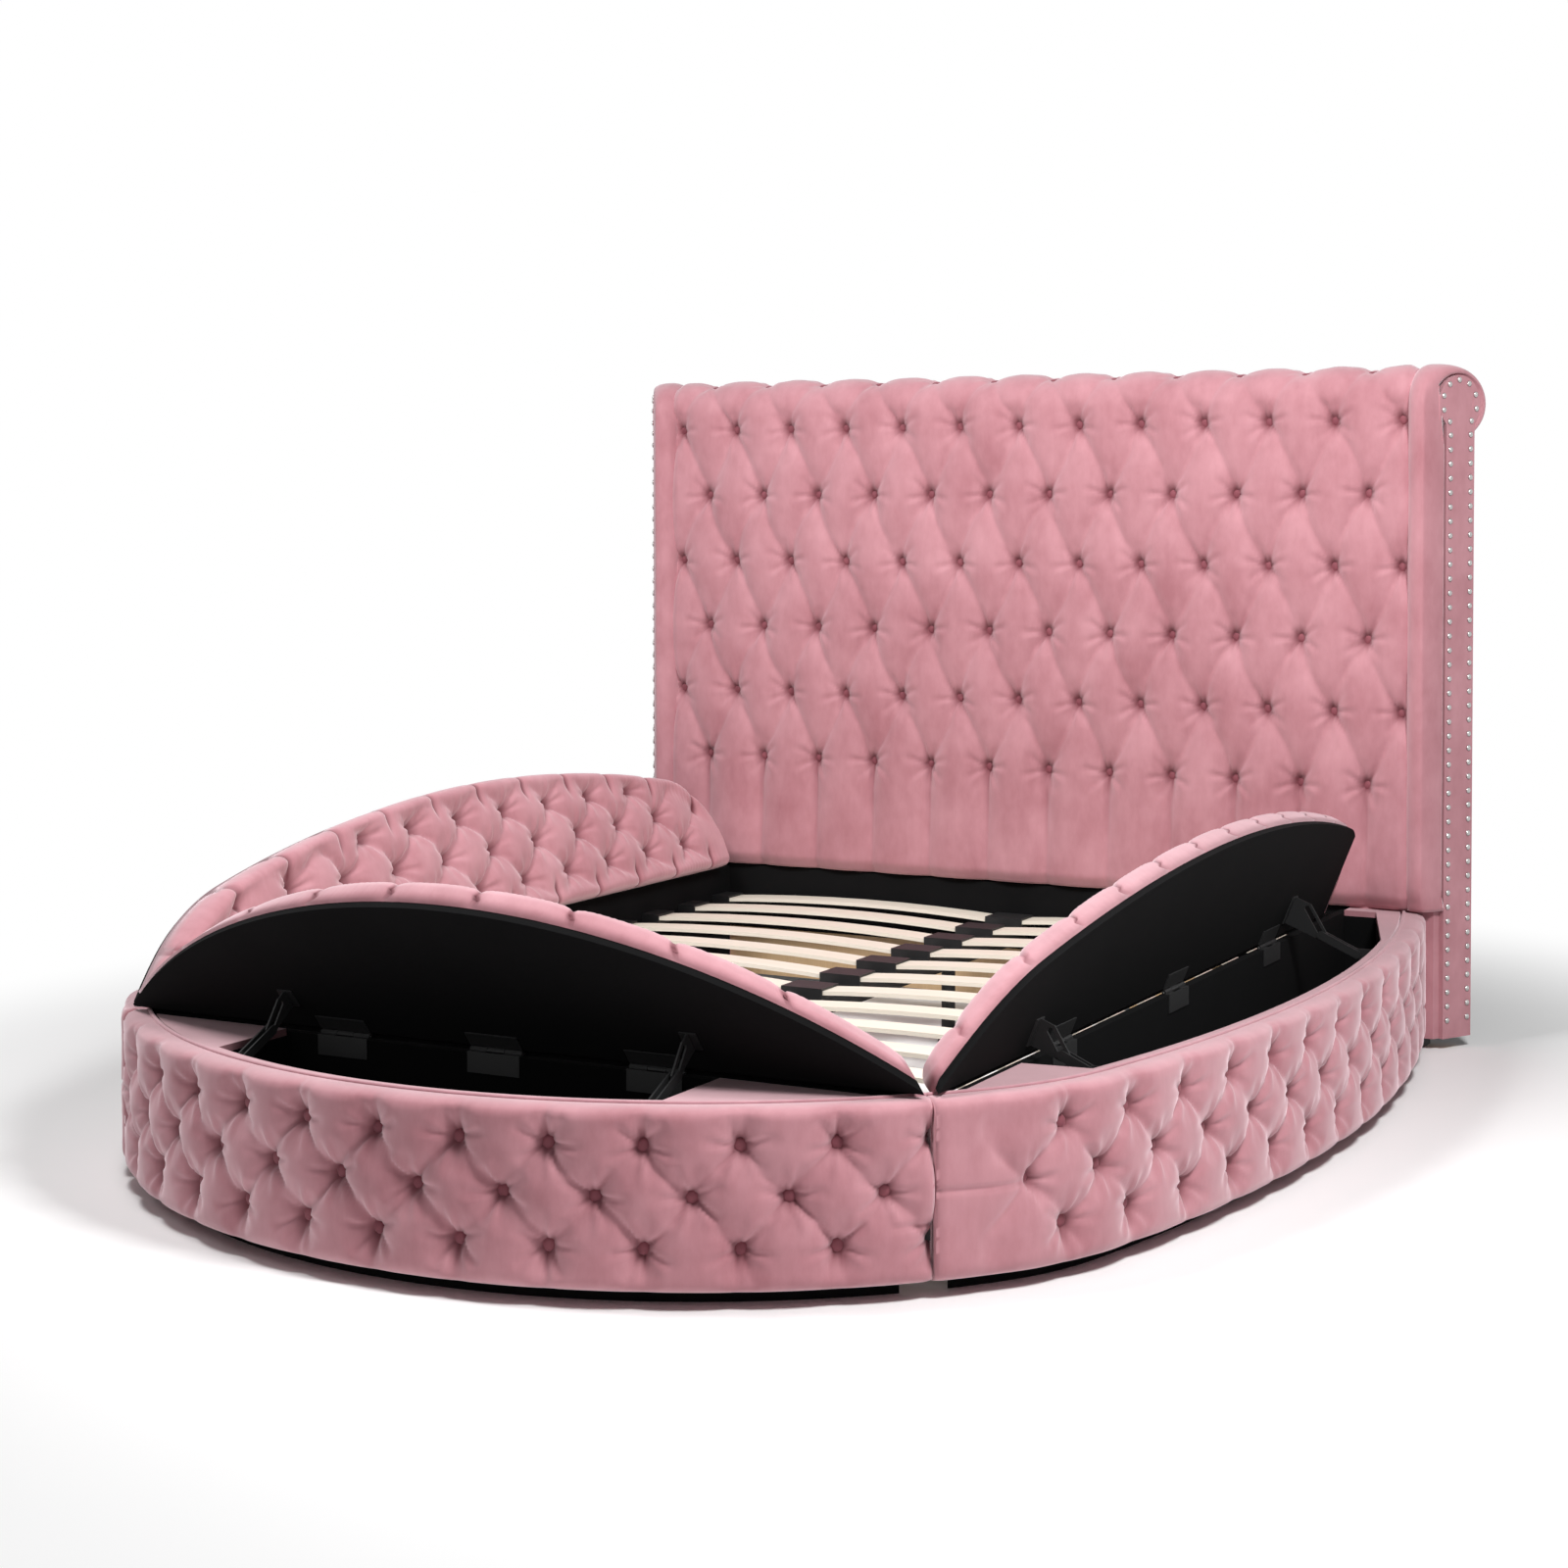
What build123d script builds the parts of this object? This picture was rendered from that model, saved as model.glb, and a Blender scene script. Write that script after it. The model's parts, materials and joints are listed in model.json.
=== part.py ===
"""Round-plan upholstered storage bed: a rectangular mattress opening with a crescent storage
box on each side and at the foot, three hinged padded lids, a slatted base and a tall
deep-buttoned headboard with a rolled top. Millimetres, +Z up, +Y towards the headboard,
origin on the floor under the middle of the bed."""

import math
import os

from build123d import *

# Driving dimensions of the mattress opening
opening_width = 1530
opening_length = 2052

# Driving dimensions of the plan outline, three tangent arcs on each side
foot_reach = 342
side_reach = 306
corner_skin = 22.7686
corner_radius = 540
side_radius = 3530
widest_head_gap = 909.0785

# Heights of the base
plinth_height = 25
rim_height = 295

# Base boards and padding, all inwards from the outline
wall_tuft = 20
wall_pad = 55
wall_ply = 14
inner_wall = 18
floor_board = 12
end_wall = 12
deck_pad = 12
corner_cover = 31
plinth_inset = 60
plinth_board = 20

# Storage hollows
foot_hollow_half = 417
side_hollow_front = 285
side_hollow_bend_gap = 384
side_hollow_back_gap = 40
side_hollow_back_reach = 70

# Fits
seam_gap = 1
fit_gap = 0.4
overrun = 60

# Tufts of the walls
wall_pitch = 150
wall_row_low = 88
wall_row_step = 75
wall_edge_round = 16
wall_back_play = 1.6
pleat_share = 0.5
cell_share = 0.985

# Buttons
button_radius = 12
button_height = 9
button_lift = 5

# Headboard
headboard_height = 1467
roll_radius = 84
roll_behind = 10
roll_crown = 82
roll_former = 30
head_rail = 33
core_thickness = 40
back_panel = 8
pad_thickness = 35
head_tuft = 25
pad_bottom = 300
head_pitch = 149
head_row_step = 157
head_row_drop = 35
head_rows = 6
head_columns = 13
pad_half = 908
bolster_radius = 38
roll_tuft = 14
roll_half_way_depth = 3
low_pleat = 14
head_edge_depth = 4
pad_end_depth = 15
roll_row_turn = 40
splay = 30
end_board_front = 24
end_board_half = 986
end_board = 12
end_disc_radius = 60
foot_block_width = 90
foot_block_depth = 50
back_drop = 90

# Slatted base
slat_count = 13
slat_width = 62
slat_thickness = 8
slat_camber = 14
slat_drop = 73
slat_first = 66
slat_end_gap = 7
ledge_width = 30
ledge_height = 25
holder_depth = 45
holder_width = 70
holder_height = 22
beam_width = 50
beam_height = 40
beam_wall = 2
centre_holder_half = 45
slat_middle_gap = 9
leg_radius = 15
leg_foot_radius = 24
leg_foot_height = 10
leg_count = 3
leg_step = 650

# Corner brackets and bolts of the mattress opening
bracket_leg = 60
bracket_height = 90
bracket_plate = 4
bracket_low = 85
bolt_radius = 7
bolt_height = 5

# Lids
foot_lid_open = 52
side_lid_open = 68
lid_gap = 4
lid_board = 12
lid_pad = 44
lid_inset = 10
lid_board_inset = 15
lid_edge_round = 14
lid_tip_gap = 4
lid_back_gap = 77
side_lid_round = 150
lid_pitch = 165
lid_row_step = 76
lid_row_first = 62
lid_crease = 11
lid_button_margin = 36

# Butt hinges, three on each lid
hinge_radius = 4
hinge_bore = 1.6
pin_clearance = 0.06
hinge_length = 100
leaf_plate = 2
leaf_depth = 34
leaf_start = 5
knuckle_gap = 1
foot_hinge_step = 300
side_hinge_step = 530

# Lid stays, a pair of straps from a lug on the bent wall to a slotted fin below the lid
stay_out = 160
stay_drop = 20
stay_length = 80
stay_width = 16
stay_strap = 3
stay_spread = 9
stay_pin = 4
foot_stay_open = 154.1
foot_stay_closed = 178.1
side_stay_open = 156
side_stay_closed = 186.2
fin_plate = 3
fin_margin = 11
fin_flange = 30
fin_flange_plate = 2.5
slot_play = 1.5
lug_flange = 3
lug_flange_half = 20
lug_flange_height = 28
foot_stay_place = 385
side_stay_front = 330
side_stay_rear_gap = 375
front_stay_share = 0.7

# Places worked out from the sizes
head_face = opening_length + head_rail
head_depth = roll_behind + roll_radius
foot_edge = -(head_face + head_depth - foot_reach) / 2
half_opening = opening_width / 2
half_width = half_opening + side_reach
side_lid_back = opening_length - lid_back_gap
slat_pitch = (opening_length - 2 * slat_first) / (slat_count - 1)
head_y = foot_edge + head_face
core_back = head_y + core_thickness
side_end = foot_edge + opening_length - seam_gap
roll_y = head_y + roll_behind
roll_z = headboard_height - roll_radius
head_row_top = roll_z - head_row_drop
pad_front = head_y - pad_thickness
inner_side = half_opening + inner_wall
inner_foot = foot_edge - inner_wall
foot_axis_y = foot_edge - inner_wall / 2
side_axis_x = half_opening + inner_wall / 2
axis_z = rim_height
wall_rows = [wall_row_low + row * wall_row_step for row in range(3)]
lid_underside = lid_gap
lid_pad_low = lid_gap + lid_board
lid_pad_high = lid_pad_low + lid_pad

# The foot arc clears the opening's corners by their skin, and the corner arc meets both others
foot_radius = (half_opening**2 + foot_reach**2 - corner_skin**2) / (2 * (foot_reach - corner_skin))
foot_centre = (0, foot_edge - foot_reach + foot_radius)
side_centre = (half_width - side_radius, foot_edge + opening_length - widest_head_gap)
centre_step = math.dist(foot_centre, side_centre)
centre_along = (
    (foot_radius - corner_radius) ** 2 - (side_radius - corner_radius) ** 2 + centre_step**2
) / (2 * centre_step)
centre_across = math.sqrt((foot_radius - corner_radius) ** 2 - centre_along**2)
line_x = (side_centre[0] - foot_centre[0]) / centre_step
line_y = (side_centre[1] - foot_centre[1]) / centre_step
corner_centre = (
    foot_centre[0] + centre_along * line_x - centre_across * line_y,
    foot_centre[1] + centre_along * line_y + centre_across * line_x,
)
foot_arc_end = math.degrees(math.atan2(corner_centre[0], foot_centre[1] - corner_centre[1]))
side_arc_start = math.degrees(
    math.atan2(corner_centre[0] - side_centre[0], side_centre[1] - corner_centre[1])
)


# Plan outline
def arc_point(centre, radius, angle):
    """Point of an arc; the angle runs from the foot direction towards the right side."""
    turn = math.radians(angle)
    return (centre[0] + radius * math.sin(turn), centre[1] - radius * math.cos(turn))


def side_angle(inset, y):
    """Angle on the side arc, drawn in by the inset, at a place along the bed."""
    return math.degrees(math.acos((side_centre[1] - y) / (side_radius - inset)))


def foot_angle(inset, x):
    """Angle on the foot arc, drawn in by the inset, at a place across the bed."""
    return math.degrees(math.asin(x / (foot_radius - inset)))


def outline_y(x, inset):
    """Where the drawn-in foot arc lies along the bed, at a place across it."""
    return foot_centre[1] - math.sqrt((foot_radius - inset) ** 2 - x**2)


def outline_x(y, inset):
    """Where the drawn-in right outline lies across the bed, at a place along it."""
    if y < arc_point(foot_centre, foot_radius - inset, foot_arc_end)[1]:
        return math.sqrt((foot_radius - inset) ** 2 - (foot_centre[1] - y) ** 2)
    if y < arc_point(corner_centre, corner_radius - inset, side_arc_start)[1]:
        return corner_centre[0] + math.sqrt((corner_radius - inset) ** 2 - (corner_centre[1] - y) ** 2)
    return side_centre[0] + math.sqrt((side_radius - inset) ** 2 - (y - side_centre[1]) ** 2)


def arc_line(centre, radius, start, end, shift=(0, 0)):
    """One arc of the outline as an edge of the open line."""
    points = [arc_point(centre, radius, angle) for angle in (start, (start + end) / 2, end)]
    return ThreePointArc(*[(x - shift[0], y - shift[1]) for x, y in points])


def plan_face(inset):
    """The whole plan, drawn in by the inset, cut straight at the head end."""
    end = side_angle(inset, side_end)
    right = arc_point(side_centre, side_radius - inset, end)
    with BuildSketch() as plan:
        with BuildLine():
            arc_line(foot_centre, foot_radius - inset, 0, foot_arc_end)
            arc_line(corner_centre, corner_radius - inset, foot_arc_end, side_arc_start)
            arc_line(side_centre, side_radius - inset, side_arc_start, end)
            Line(right, (0, side_end))
            Line((0, side_end), arc_point(foot_centre, foot_radius - inset, 0))
        make_face()
        mirror(about=Plane.YZ)
    return plan.sketch


def foot_zone(gap):
    """The foot's share of the plan, beyond the opening and between the two mitres."""
    reach = foot_reach + overrun
    with BuildSketch() as zone:
        with BuildLine():
            Polyline(
                (-half_opening + gap, foot_edge),
                (half_opening - gap, foot_edge),
                (half_opening - gap + reach, foot_edge - reach),
                (-half_opening + gap - reach, foot_edge - reach),
                close=True,
            )
        make_face()
    return zone.sketch


def side_zone(gap):
    """The right side's share of the plan, beyond the opening and behind the mitre."""
    reach = foot_reach + overrun
    with BuildSketch() as zone:
        with BuildLine():
            Polyline(
                (half_opening, foot_edge + gap),
                (half_opening + reach, foot_edge + gap - reach),
                (half_opening + reach, side_end),
                (half_opening, side_end),
                close=True,
            )
        make_face()
    return zone.sketch


def inner_strip(zone_is_foot, thickness):
    """Plan of the straight inner wall along the opening, as a long rectangle."""
    with BuildSketch() as strip:
        if zone_is_foot:
            with Locations((0, foot_edge - thickness / 2)):
                Rectangle(2 * half_width, thickness)
        else:
            with Locations((half_opening + thickness / 2, foot_edge + opening_length / 2)):
                Rectangle(thickness, opening_length + 2 * foot_reach)
    return strip.sketch


def foot_hollow(gap):
    """Plan of the foot's storage hollow."""
    inset = wall_pad + wall_ply + gap
    reach = foot_angle(inset, foot_hollow_half)
    edge = inner_foot - gap
    with BuildSketch() as hollow:
        with BuildLine():
            arc_line(foot_centre, foot_radius - inset, -reach, reach)
            Polyline(
                (foot_hollow_half, outline_y(foot_hollow_half, inset)),
                (foot_hollow_half, edge),
                (-foot_hollow_half, edge),
                (-foot_hollow_half, outline_y(foot_hollow_half, inset)),
            )
        make_face()
    return hollow.sketch


def side_hollow(gap):
    """Plan of the right side's storage hollow, with its slanting rear corner."""
    inset = wall_pad + wall_ply + gap
    front = foot_edge + side_hollow_front
    bend = foot_edge + opening_length - side_hollow_bend_gap
    back = foot_edge + opening_length - side_hollow_back_gap
    edge = inner_side + gap
    with BuildSketch() as hollow:
        with BuildLine():
            arc_line(
                side_centre,
                side_radius - inset,
                max(side_arc_start, side_angle(inset, front)),
                side_angle(inset, bend),
            )
            Polyline(
                (outline_x(bend, inset), bend),
                (edge + side_hollow_back_reach, back),
                (edge, back),
                (edge, front),
                arc_point(side_centre, side_radius - inset, max(side_arc_start, side_angle(inset, front))),
            )
        make_face()
    return hollow.sketch


def inner_wall_plan(is_foot, gap):
    """Plan of the straight inner wall itself, or of the room for it, with its covered ends."""
    with BuildSketch() as plan:
        add(inner_strip(is_foot, inner_wall + gap))
        add(plan_face(corner_cover - gap), mode=Mode.INTERSECT)
    return plan.sketch


# Boards of one storage segment
def zone_of(is_foot, gap):
    return foot_zone(gap) if is_foot else side_zone(gap)


def hollow_of(is_foot, gap):
    return foot_hollow(gap) if is_foot else side_hollow(gap)


def inner_wall_board(is_foot):
    """Straight wall between the storage box and the mattress opening."""
    with BuildPart() as board:
        with BuildSketch(Plane.XY.offset(plinth_height)):
            add(inner_wall_plan(is_foot, 0))
            add(zone_of(is_foot, seam_gap / 2), mode=Mode.INTERSECT)
        extrude(amount=rim_height - hinge_radius - fit_gap - plinth_height)
    return board


def curved_wall_board(is_foot):
    """Bent plywood wall that carries the outer padding."""
    with BuildPart() as board:
        with BuildSketch(Plane.XY.offset(plinth_height)):
            add(plan_face(wall_pad + fit_gap))
            add(plan_face(wall_pad + wall_ply), mode=Mode.SUBTRACT)
            add(zone_of(is_foot, seam_gap), mode=Mode.INTERSECT)
            add(inner_strip(is_foot, inner_wall + fit_gap), mode=Mode.SUBTRACT)
        extrude(amount=rim_height - deck_pad - fit_gap - plinth_height)
    return board


def floor_panel(is_foot):
    """Bottom board of the storage box."""
    with BuildPart() as board:
        with BuildSketch(Plane.XY.offset(plinth_height)):
            add(plan_face(wall_pad + wall_ply + fit_gap))
            add(zone_of(is_foot, seam_gap), mode=Mode.INTERSECT)
            add(inner_strip(is_foot, inner_wall + fit_gap), mode=Mode.SUBTRACT)
        extrude(amount=floor_board)
    return board


def end_wall_boards(is_foot):
    """The two end walls that close the storage hollow towards its tips."""
    with BuildPart() as boards:
        with BuildSketch(Plane.XY.offset(plinth_height + floor_board)):
            add(hollow_of(is_foot, 0))
            offset(amount=end_wall, kind=Kind.INTERSECTION)
            add(hollow_of(is_foot, 0), mode=Mode.SUBTRACT)
            add(plan_face(wall_pad + wall_ply + fit_gap), mode=Mode.INTERSECT)
            add(inner_strip(is_foot, inner_wall + fit_gap), mode=Mode.SUBTRACT)
            add(zone_of(is_foot, seam_gap), mode=Mode.INTERSECT)
        extrude(amount=rim_height - deck_pad - fit_gap - plinth_height - floor_board)
    return boards


def deck_panels(is_foot):
    """Flat padded deck that covers the tips of the crescent and the wall between them."""
    with BuildPart() as decks:
        with BuildSketch(Plane.XY.offset(rim_height - deck_pad)):
            add(plan_face(wall_pad + fit_gap))
            add(zone_of(is_foot, seam_gap), mode=Mode.INTERSECT)
            add(inner_strip(is_foot, inner_wall + fit_gap), mode=Mode.SUBTRACT)
            add(hollow_of(is_foot, 0), mode=Mode.SUBTRACT)
        extrude(amount=deck_pad)
    return decks


# Tufted outer padding
def outline_place(is_foot, run):
    """Point and outward turn of the outline, a run along it from the middle of the foot or,
    on the right side, from the mitre seam."""
    foot_run = math.radians(foot_arc_end) * foot_radius
    corner_run = math.radians(side_arc_start - foot_arc_end) * corner_radius
    if not is_foot:
        run = run + math.radians(seam_angle) * foot_radius
    if abs(run) < foot_run:
        angle = math.degrees(run / foot_radius)
        return arc_point(foot_centre, foot_radius, angle), angle
    if run < foot_run + corner_run:
        angle = foot_arc_end + math.degrees((run - foot_run) / corner_radius)
        return arc_point(corner_centre, corner_radius, angle), angle
    angle = side_arc_start + math.degrees((run - foot_run - corner_run) / side_radius)
    return arc_point(side_centre, side_radius, angle), angle


def mitre_angle(depth, gap):
    """Angle on the drawn-in foot arc where it meets the forty-five degree mitre, moved by a gap."""
    lift = foot_centre[1] - foot_edge
    diagonal = (half_opening + gap - lift) / math.sqrt(2)
    return 45 + math.degrees(math.asin(diagonal / (foot_radius - depth)))


seam_angle = mitre_angle(0, 0)
foot_run = 2 * math.radians(seam_angle) * foot_radius
side_run = (
    math.radians(foot_arc_end - seam_angle) * foot_radius
    + math.radians(side_arc_start - foot_arc_end) * corner_radius
    + math.radians(side_angle(0, side_end) - side_arc_start) * side_radius
)


def tangent_plane(is_foot, run, inset, height):
    """Upright plane that touches the drawn-in outline and faces outwards."""
    (x, y), angle = outline_place(is_foot, run)
    turn = math.radians(angle)
    out = (math.sin(turn), -math.cos(turn), 0)
    return Plane(
        origin=(x - inset * out[0], y - inset * out[1], height),
        x_dir=(math.cos(turn), math.sin(turn), 0),
        z_dir=out,
    )


def wall_count(is_foot):
    """Whole pitches that fit along one wall."""
    return round((foot_run if is_foot else side_run) / wall_pitch)


def wall_columns(is_foot):
    """Runs of the middle row's buttons and their pitch; the outer rows stand half a pitch
    between them, and the side walls stay plain at both ends for half a pitch more."""
    count = wall_count(is_foot)
    if is_foot:
        pitch = foot_run / count
        return [pitch * (column + 0.5) - foot_run / 2 for column in range(count)], pitch
    pitch = side_run / count
    return [pitch * (column + 1) for column in range(count - 1)], pitch


def wall_button_places(is_foot):
    """Every button of one wall as a run and a height."""
    columns, pitch = wall_columns(is_foot)
    middle = [(run, wall_rows[1]) for run in columns]
    between = [run + pitch / 2 for run in columns[:-1]]
    return middle + [(run, wall_rows[row]) for row in (0, 2) for run in between]


# Padding drawn as flat facets that are folded along the sewn creases
def facet_solid(points, loops):
    """Closed solid from its corners and the loop of corners round each flat face."""
    return Solid(Shell([Face(Wire.make_polygon([points[corner] for corner in loop])) for loop in loops]))


def tufted_loops(depths):
    """Triangles of a grid of corners, each square folded along its deeper diagonal."""
    width = len(depths[0])
    loops = []
    for row in range(len(depths) - 1):
        for column in range(width - 1):
            a = row * width + column
            b = a + 1
            c = b + width
            d = a + width
            one_way = depths[row][column] + depths[row + 1][column + 1]
            other_way = depths[row][column + 1] + depths[row + 1][column]
            if one_way > other_way:
                loops += [(a, b, c), (a, c, d)]
            else:
                loops += [(a, b, d), (b, c, d)]
    return loops


def wall_depth(is_foot, row, column, last):
    """How deep a corner of the wall padding lies below the outline: rows 0 and 6 are its edges,
    rows 1 and 5 the ends of the pleats and rows 2 to 4 the rows of buttons."""
    if row in (0, 6):
        return wall_tuft
    plain = 0 if is_foot else 1
    if not plain < column < last - plain:
        return 0
    between = (column + plain) % 2
    if row in (1, 5):
        return 0 if between else wall_tuft * pleat_share
    return wall_tuft if between == row % 2 else 0


def wall_corner(is_foot, column, last, depth):
    """Plan place of one corner of the wall padding; its ends lie on the mitres or the head end."""
    total = foot_run if is_foot else side_run
    if 0 < column < last:
        run = total * column / last - (total / 2 if is_foot else 0)
        (x, y), angle = outline_place(is_foot, run)
        turn = math.radians(angle)
        return (x - depth * math.sin(turn), y + depth * math.cos(turn))
    if is_foot:
        x, y = arc_point(foot_centre, foot_radius - depth, mitre_angle(depth, -seam_gap))
        return (x if column else -x, y)
    if column:
        return arc_point(side_centre, side_radius - depth, side_angle(depth, side_end))
    return arc_point(foot_centre, foot_radius - depth, mitre_angle(depth, seam_gap))


def wall_back(is_foot, last):
    """Plan corners of the padding's back from its last end to its first, stepping forwards
    where it covers the ends of the inner walls."""
    inset = wall_pad - wall_back_play
    cover = corner_cover - fit_gap
    middle = [wall_corner(is_foot, column, last, inset) for column in range(last - 1, 0, -1)]
    if is_foot:
        edge = inner_foot - fit_gap
        end = [
            (half_opening - seam_gap, foot_edge),
            (outline_x(foot_edge, cover), foot_edge),
            (outline_x(edge, cover), edge),
            (outline_x(edge, inset), edge),
        ]
        return end + [point for point in middle if point[1] < edge] + [(-x, y) for x, y in reversed(end)]
    edge = inner_side + fit_gap
    start = [
        (edge, outline_y(edge, inset)),
        (edge, outline_y(edge, cover)),
        (half_opening, outline_y(half_opening, cover)),
        (half_opening, foot_edge + seam_gap),
    ]
    rear = [wall_corner(is_foot, last, last, inset)]
    return rear + [point for point in middle if point[0] > edge] + start


def wall_padding(is_foot):
    """Outer padding of one wall, with a stuffed cell between every four buttons."""
    last = 2 * wall_count(is_foot)
    heights = [plinth_height, plinth_height + wall_edge_round, *wall_rows]
    heights += [rim_height - wall_edge_round, rim_height]
    depths = [
        [wall_depth(is_foot, row, column, last) for column in range(last + 1)]
        for row in range(len(heights))
    ]
    points = [
        (*wall_corner(is_foot, column, last, depth), height)
        for height, line in zip(heights, depths)
        for column, depth in enumerate(line)
    ]
    back = wall_back(is_foot, last)
    low = len(points)
    high = low + len(back)
    top = low - last - 1
    points += [(*place, plinth_height) for place in back] + [(*place, rim_height) for place in back]
    loops = tufted_loops(depths)
    loops += [(low + n, low + n + 1, high + n + 1, high + n) for n in range(len(back) - 1)]
    loops.append([*range(last + 1), *range(low, high)])
    loops.append([*range(top, low), *range(high, len(points))])
    loops.append([*range(0, low, last + 1), len(points) - 1, high - 1])
    loops.append([*range(last, low, last + 1), high, low])
    return facet_solid(points, loops)


def button_head(plane):
    """One covered button: a low six-sided cone on a shallow one that sits in the pit."""
    ring = [math.radians(60 * corner) for corner in range(6)]
    local = [
        (button_radius * math.cos(turn), button_radius * math.sin(turn), fit_gap + button_lift)
        for turn in ring
    ]
    local += [(0, 0, fit_gap), (0, 0, fit_gap + button_height)]
    loops = [(n, (n + 1) % 6, tip) for n in range(6) for tip in (6, 7)]
    return facet_solid([plane.from_local_coords(point) for point in local], loops)


def wall_buttons(is_foot):
    with BuildPart() as buttons:
        add([
            button_head(tangent_plane(is_foot, run, wall_tuft, height))
            for run, height in wall_button_places(is_foot)
        ])
    return buttons


def inner_bearer(is_foot):
    """Plan of the bearer below the straight inner wall."""
    with BuildSketch() as bearer:
        add(inner_strip(is_foot, inner_wall))
        add(plan_face(plinth_inset), mode=Mode.INTERSECT)
        add(zone_of(is_foot, seam_gap), mode=Mode.INTERSECT)
    return bearer.sketch


def plinth_strip(is_foot):
    """Black strip that the segment stands on, set back from the padding."""
    with BuildPart() as strip:
        with BuildSketch():
            add(plan_face(plinth_inset))
            add(plan_face(plinth_inset + plinth_board), mode=Mode.SUBTRACT)
            add(zone_of(is_foot, seam_gap), mode=Mode.INTERSECT)
            add(inner_strip(is_foot, inner_wall + fit_gap), mode=Mode.SUBTRACT)
            add(inner_bearer(is_foot))
        extrude(amount=plinth_height)
    return strip


# Lids, drawn closed and then swung open about their hinge lines
def lid_plan(is_foot, inset, hem):
    """Plan of a closed lid, from its hinge side out to the drawn-in outline."""
    back = foot_edge + side_lid_back - inset
    with BuildSketch() as plan:
        add(plan_face(inset))
        if is_foot:
            with Locations((0, foot_axis_y - hem - foot_reach)):
                Rectangle(2 * half_width, 2 * foot_reach, mode=Mode.INTERSECT)
        else:
            with Locations((side_axis_x + hem + foot_reach, back - opening_length)):
                Rectangle(2 * foot_reach, 2 * opening_length, mode=Mode.INTERSECT)
            corner = plan.vertices().group_by(Axis.Y)[-1].sort_by(Axis.X)[-1]
            fillet(corner, radius=side_lid_round)
    return plan.sketch


def tip_cut(is_foot):
    """Keeps only what lies inside the slanting tips, so the lids never meet."""
    top = axis_z + lid_pad_high + overrun
    drop = lid_pad_high + overrun
    if is_foot:
        near = half_opening - lid_tip_gap
        points = [(-near, axis_z), (near, axis_z), (near - drop, top), (drop - near, top)]
        with BuildSketch(Plane.XZ.offset(-foot_edge - overrun)) as kept:
            with BuildLine():
                Polyline(*points, close=True)
            make_face()
        extrude(kept.sketch, amount=foot_reach + 2 * overrun, mode=Mode.INTERSECT)
    else:
        near = foot_edge + lid_tip_gap
        far = -foot_edge + overrun
        points = [(near, axis_z), (far, axis_z), (far, top), (near + drop, top)]
        with BuildSketch(Plane.YZ.offset(half_opening - overrun)) as kept:
            with BuildLine():
                Polyline(*points, close=True)
            make_face()
        extrude(kept.sketch, amount=foot_reach + 2 * overrun, mode=Mode.INTERSECT)


def lid_place(is_foot, along, out):
    """Point on a closed lid, from its distance along and out from the hinge line."""
    if is_foot:
        return (along, foot_axis_y - out)
    return (side_axis_x + out, foot_edge + along)


def lid_has_room(is_foot, along, out):
    """Whether a button may stand at this place of the lid."""
    x, y = lid_place(is_foot, along, out)
    end = lid_button_margin + lid_pad
    if out < lid_row_first:
        return False
    if is_foot:
        return abs(x) < half_opening - end and y > outline_y(x, lid_inset + lid_button_margin)
    if along < end or x > outline_x(y, lid_inset + lid_button_margin):
        return False
    over = max(0, along - side_lid_back + side_lid_round)
    across = max(0, x - outline_x(y, lid_inset) + side_lid_round)
    return math.hypot(over, across) < side_lid_round - lid_button_margin


def lid_grid(is_foot):
    """Staggered rows of buttons that fit on the lid, as a run along and a reach out."""
    places = []
    middle = 0 if is_foot else side_lid_back / 2
    for row in range(5):
        for column in range(-8, 9):
            along = middle + (column + 0.5 * (row % 2)) * lid_pitch
            out = lid_row_first + row * lid_row_step
            if lid_has_room(is_foot, along, out):
                places.append((along, out))
    return places


def lid_cells(is_foot):
    """Cells of the lid whose four buttons are all present, as their middle places."""
    places = [(round(along), round(out)) for along, out in lid_grid(is_foot)]
    cells = []
    for along, out in lid_grid(is_foot):
        corners = [(lid_pitch, 0), (lid_pitch / 2, lid_row_step), (lid_pitch / 2, -lid_row_step)]
        found = [(round(along + a), round(out + b)) in places for a, b in corners]
        if all(found):
            cells.append((along + lid_pitch / 2, out))
    return cells


def lid_top_plane(is_foot, along, out):
    x, y = lid_place(is_foot, along, out)
    height = axis_z + lid_pad_high - lid_crease
    if is_foot:
        return Plane(origin=(x, y, height), x_dir=(1, 0, 0), z_dir=(0, 0, 1))
    return Plane(origin=(x, y, height), x_dir=(0, 1, 0), z_dir=(0, 0, 1))


def opened(shape, is_foot):
    """The piece of a lid, swung from closed to open."""
    if is_foot:
        return shape.rotate(Axis((0, foot_axis_y, axis_z), (1, 0, 0)), -foot_lid_open)
    return shape.rotate(Axis((side_axis_x, 0, axis_z), (0, 1, 0)), -side_lid_open)


def lid_panel(is_foot):
    """Black-lined board of the lid."""
    with BuildPart() as panel:
        with BuildSketch(Plane.XY.offset(axis_z + lid_underside)):
            add(lid_plan(is_foot, lid_board_inset, leaf_start))
        extrude(amount=lid_board)
        tip_cut(is_foot)
    return opened(panel.part, is_foot)


def puff(plane, points, height):
    """One stuffed cell of a lid as a low pyramid, drawn in a little from the creases."""
    corners = [(x * cell_share, y * cell_share, 0) for x, y in points] + [(0, 0, height)]
    loops = [(n, (n + 1) % len(points), len(points)) for n in range(len(points))]
    loops.append(range(len(points)))
    return facet_solid([plane.from_local_coords(corner) for corner in corners], loops)


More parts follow.
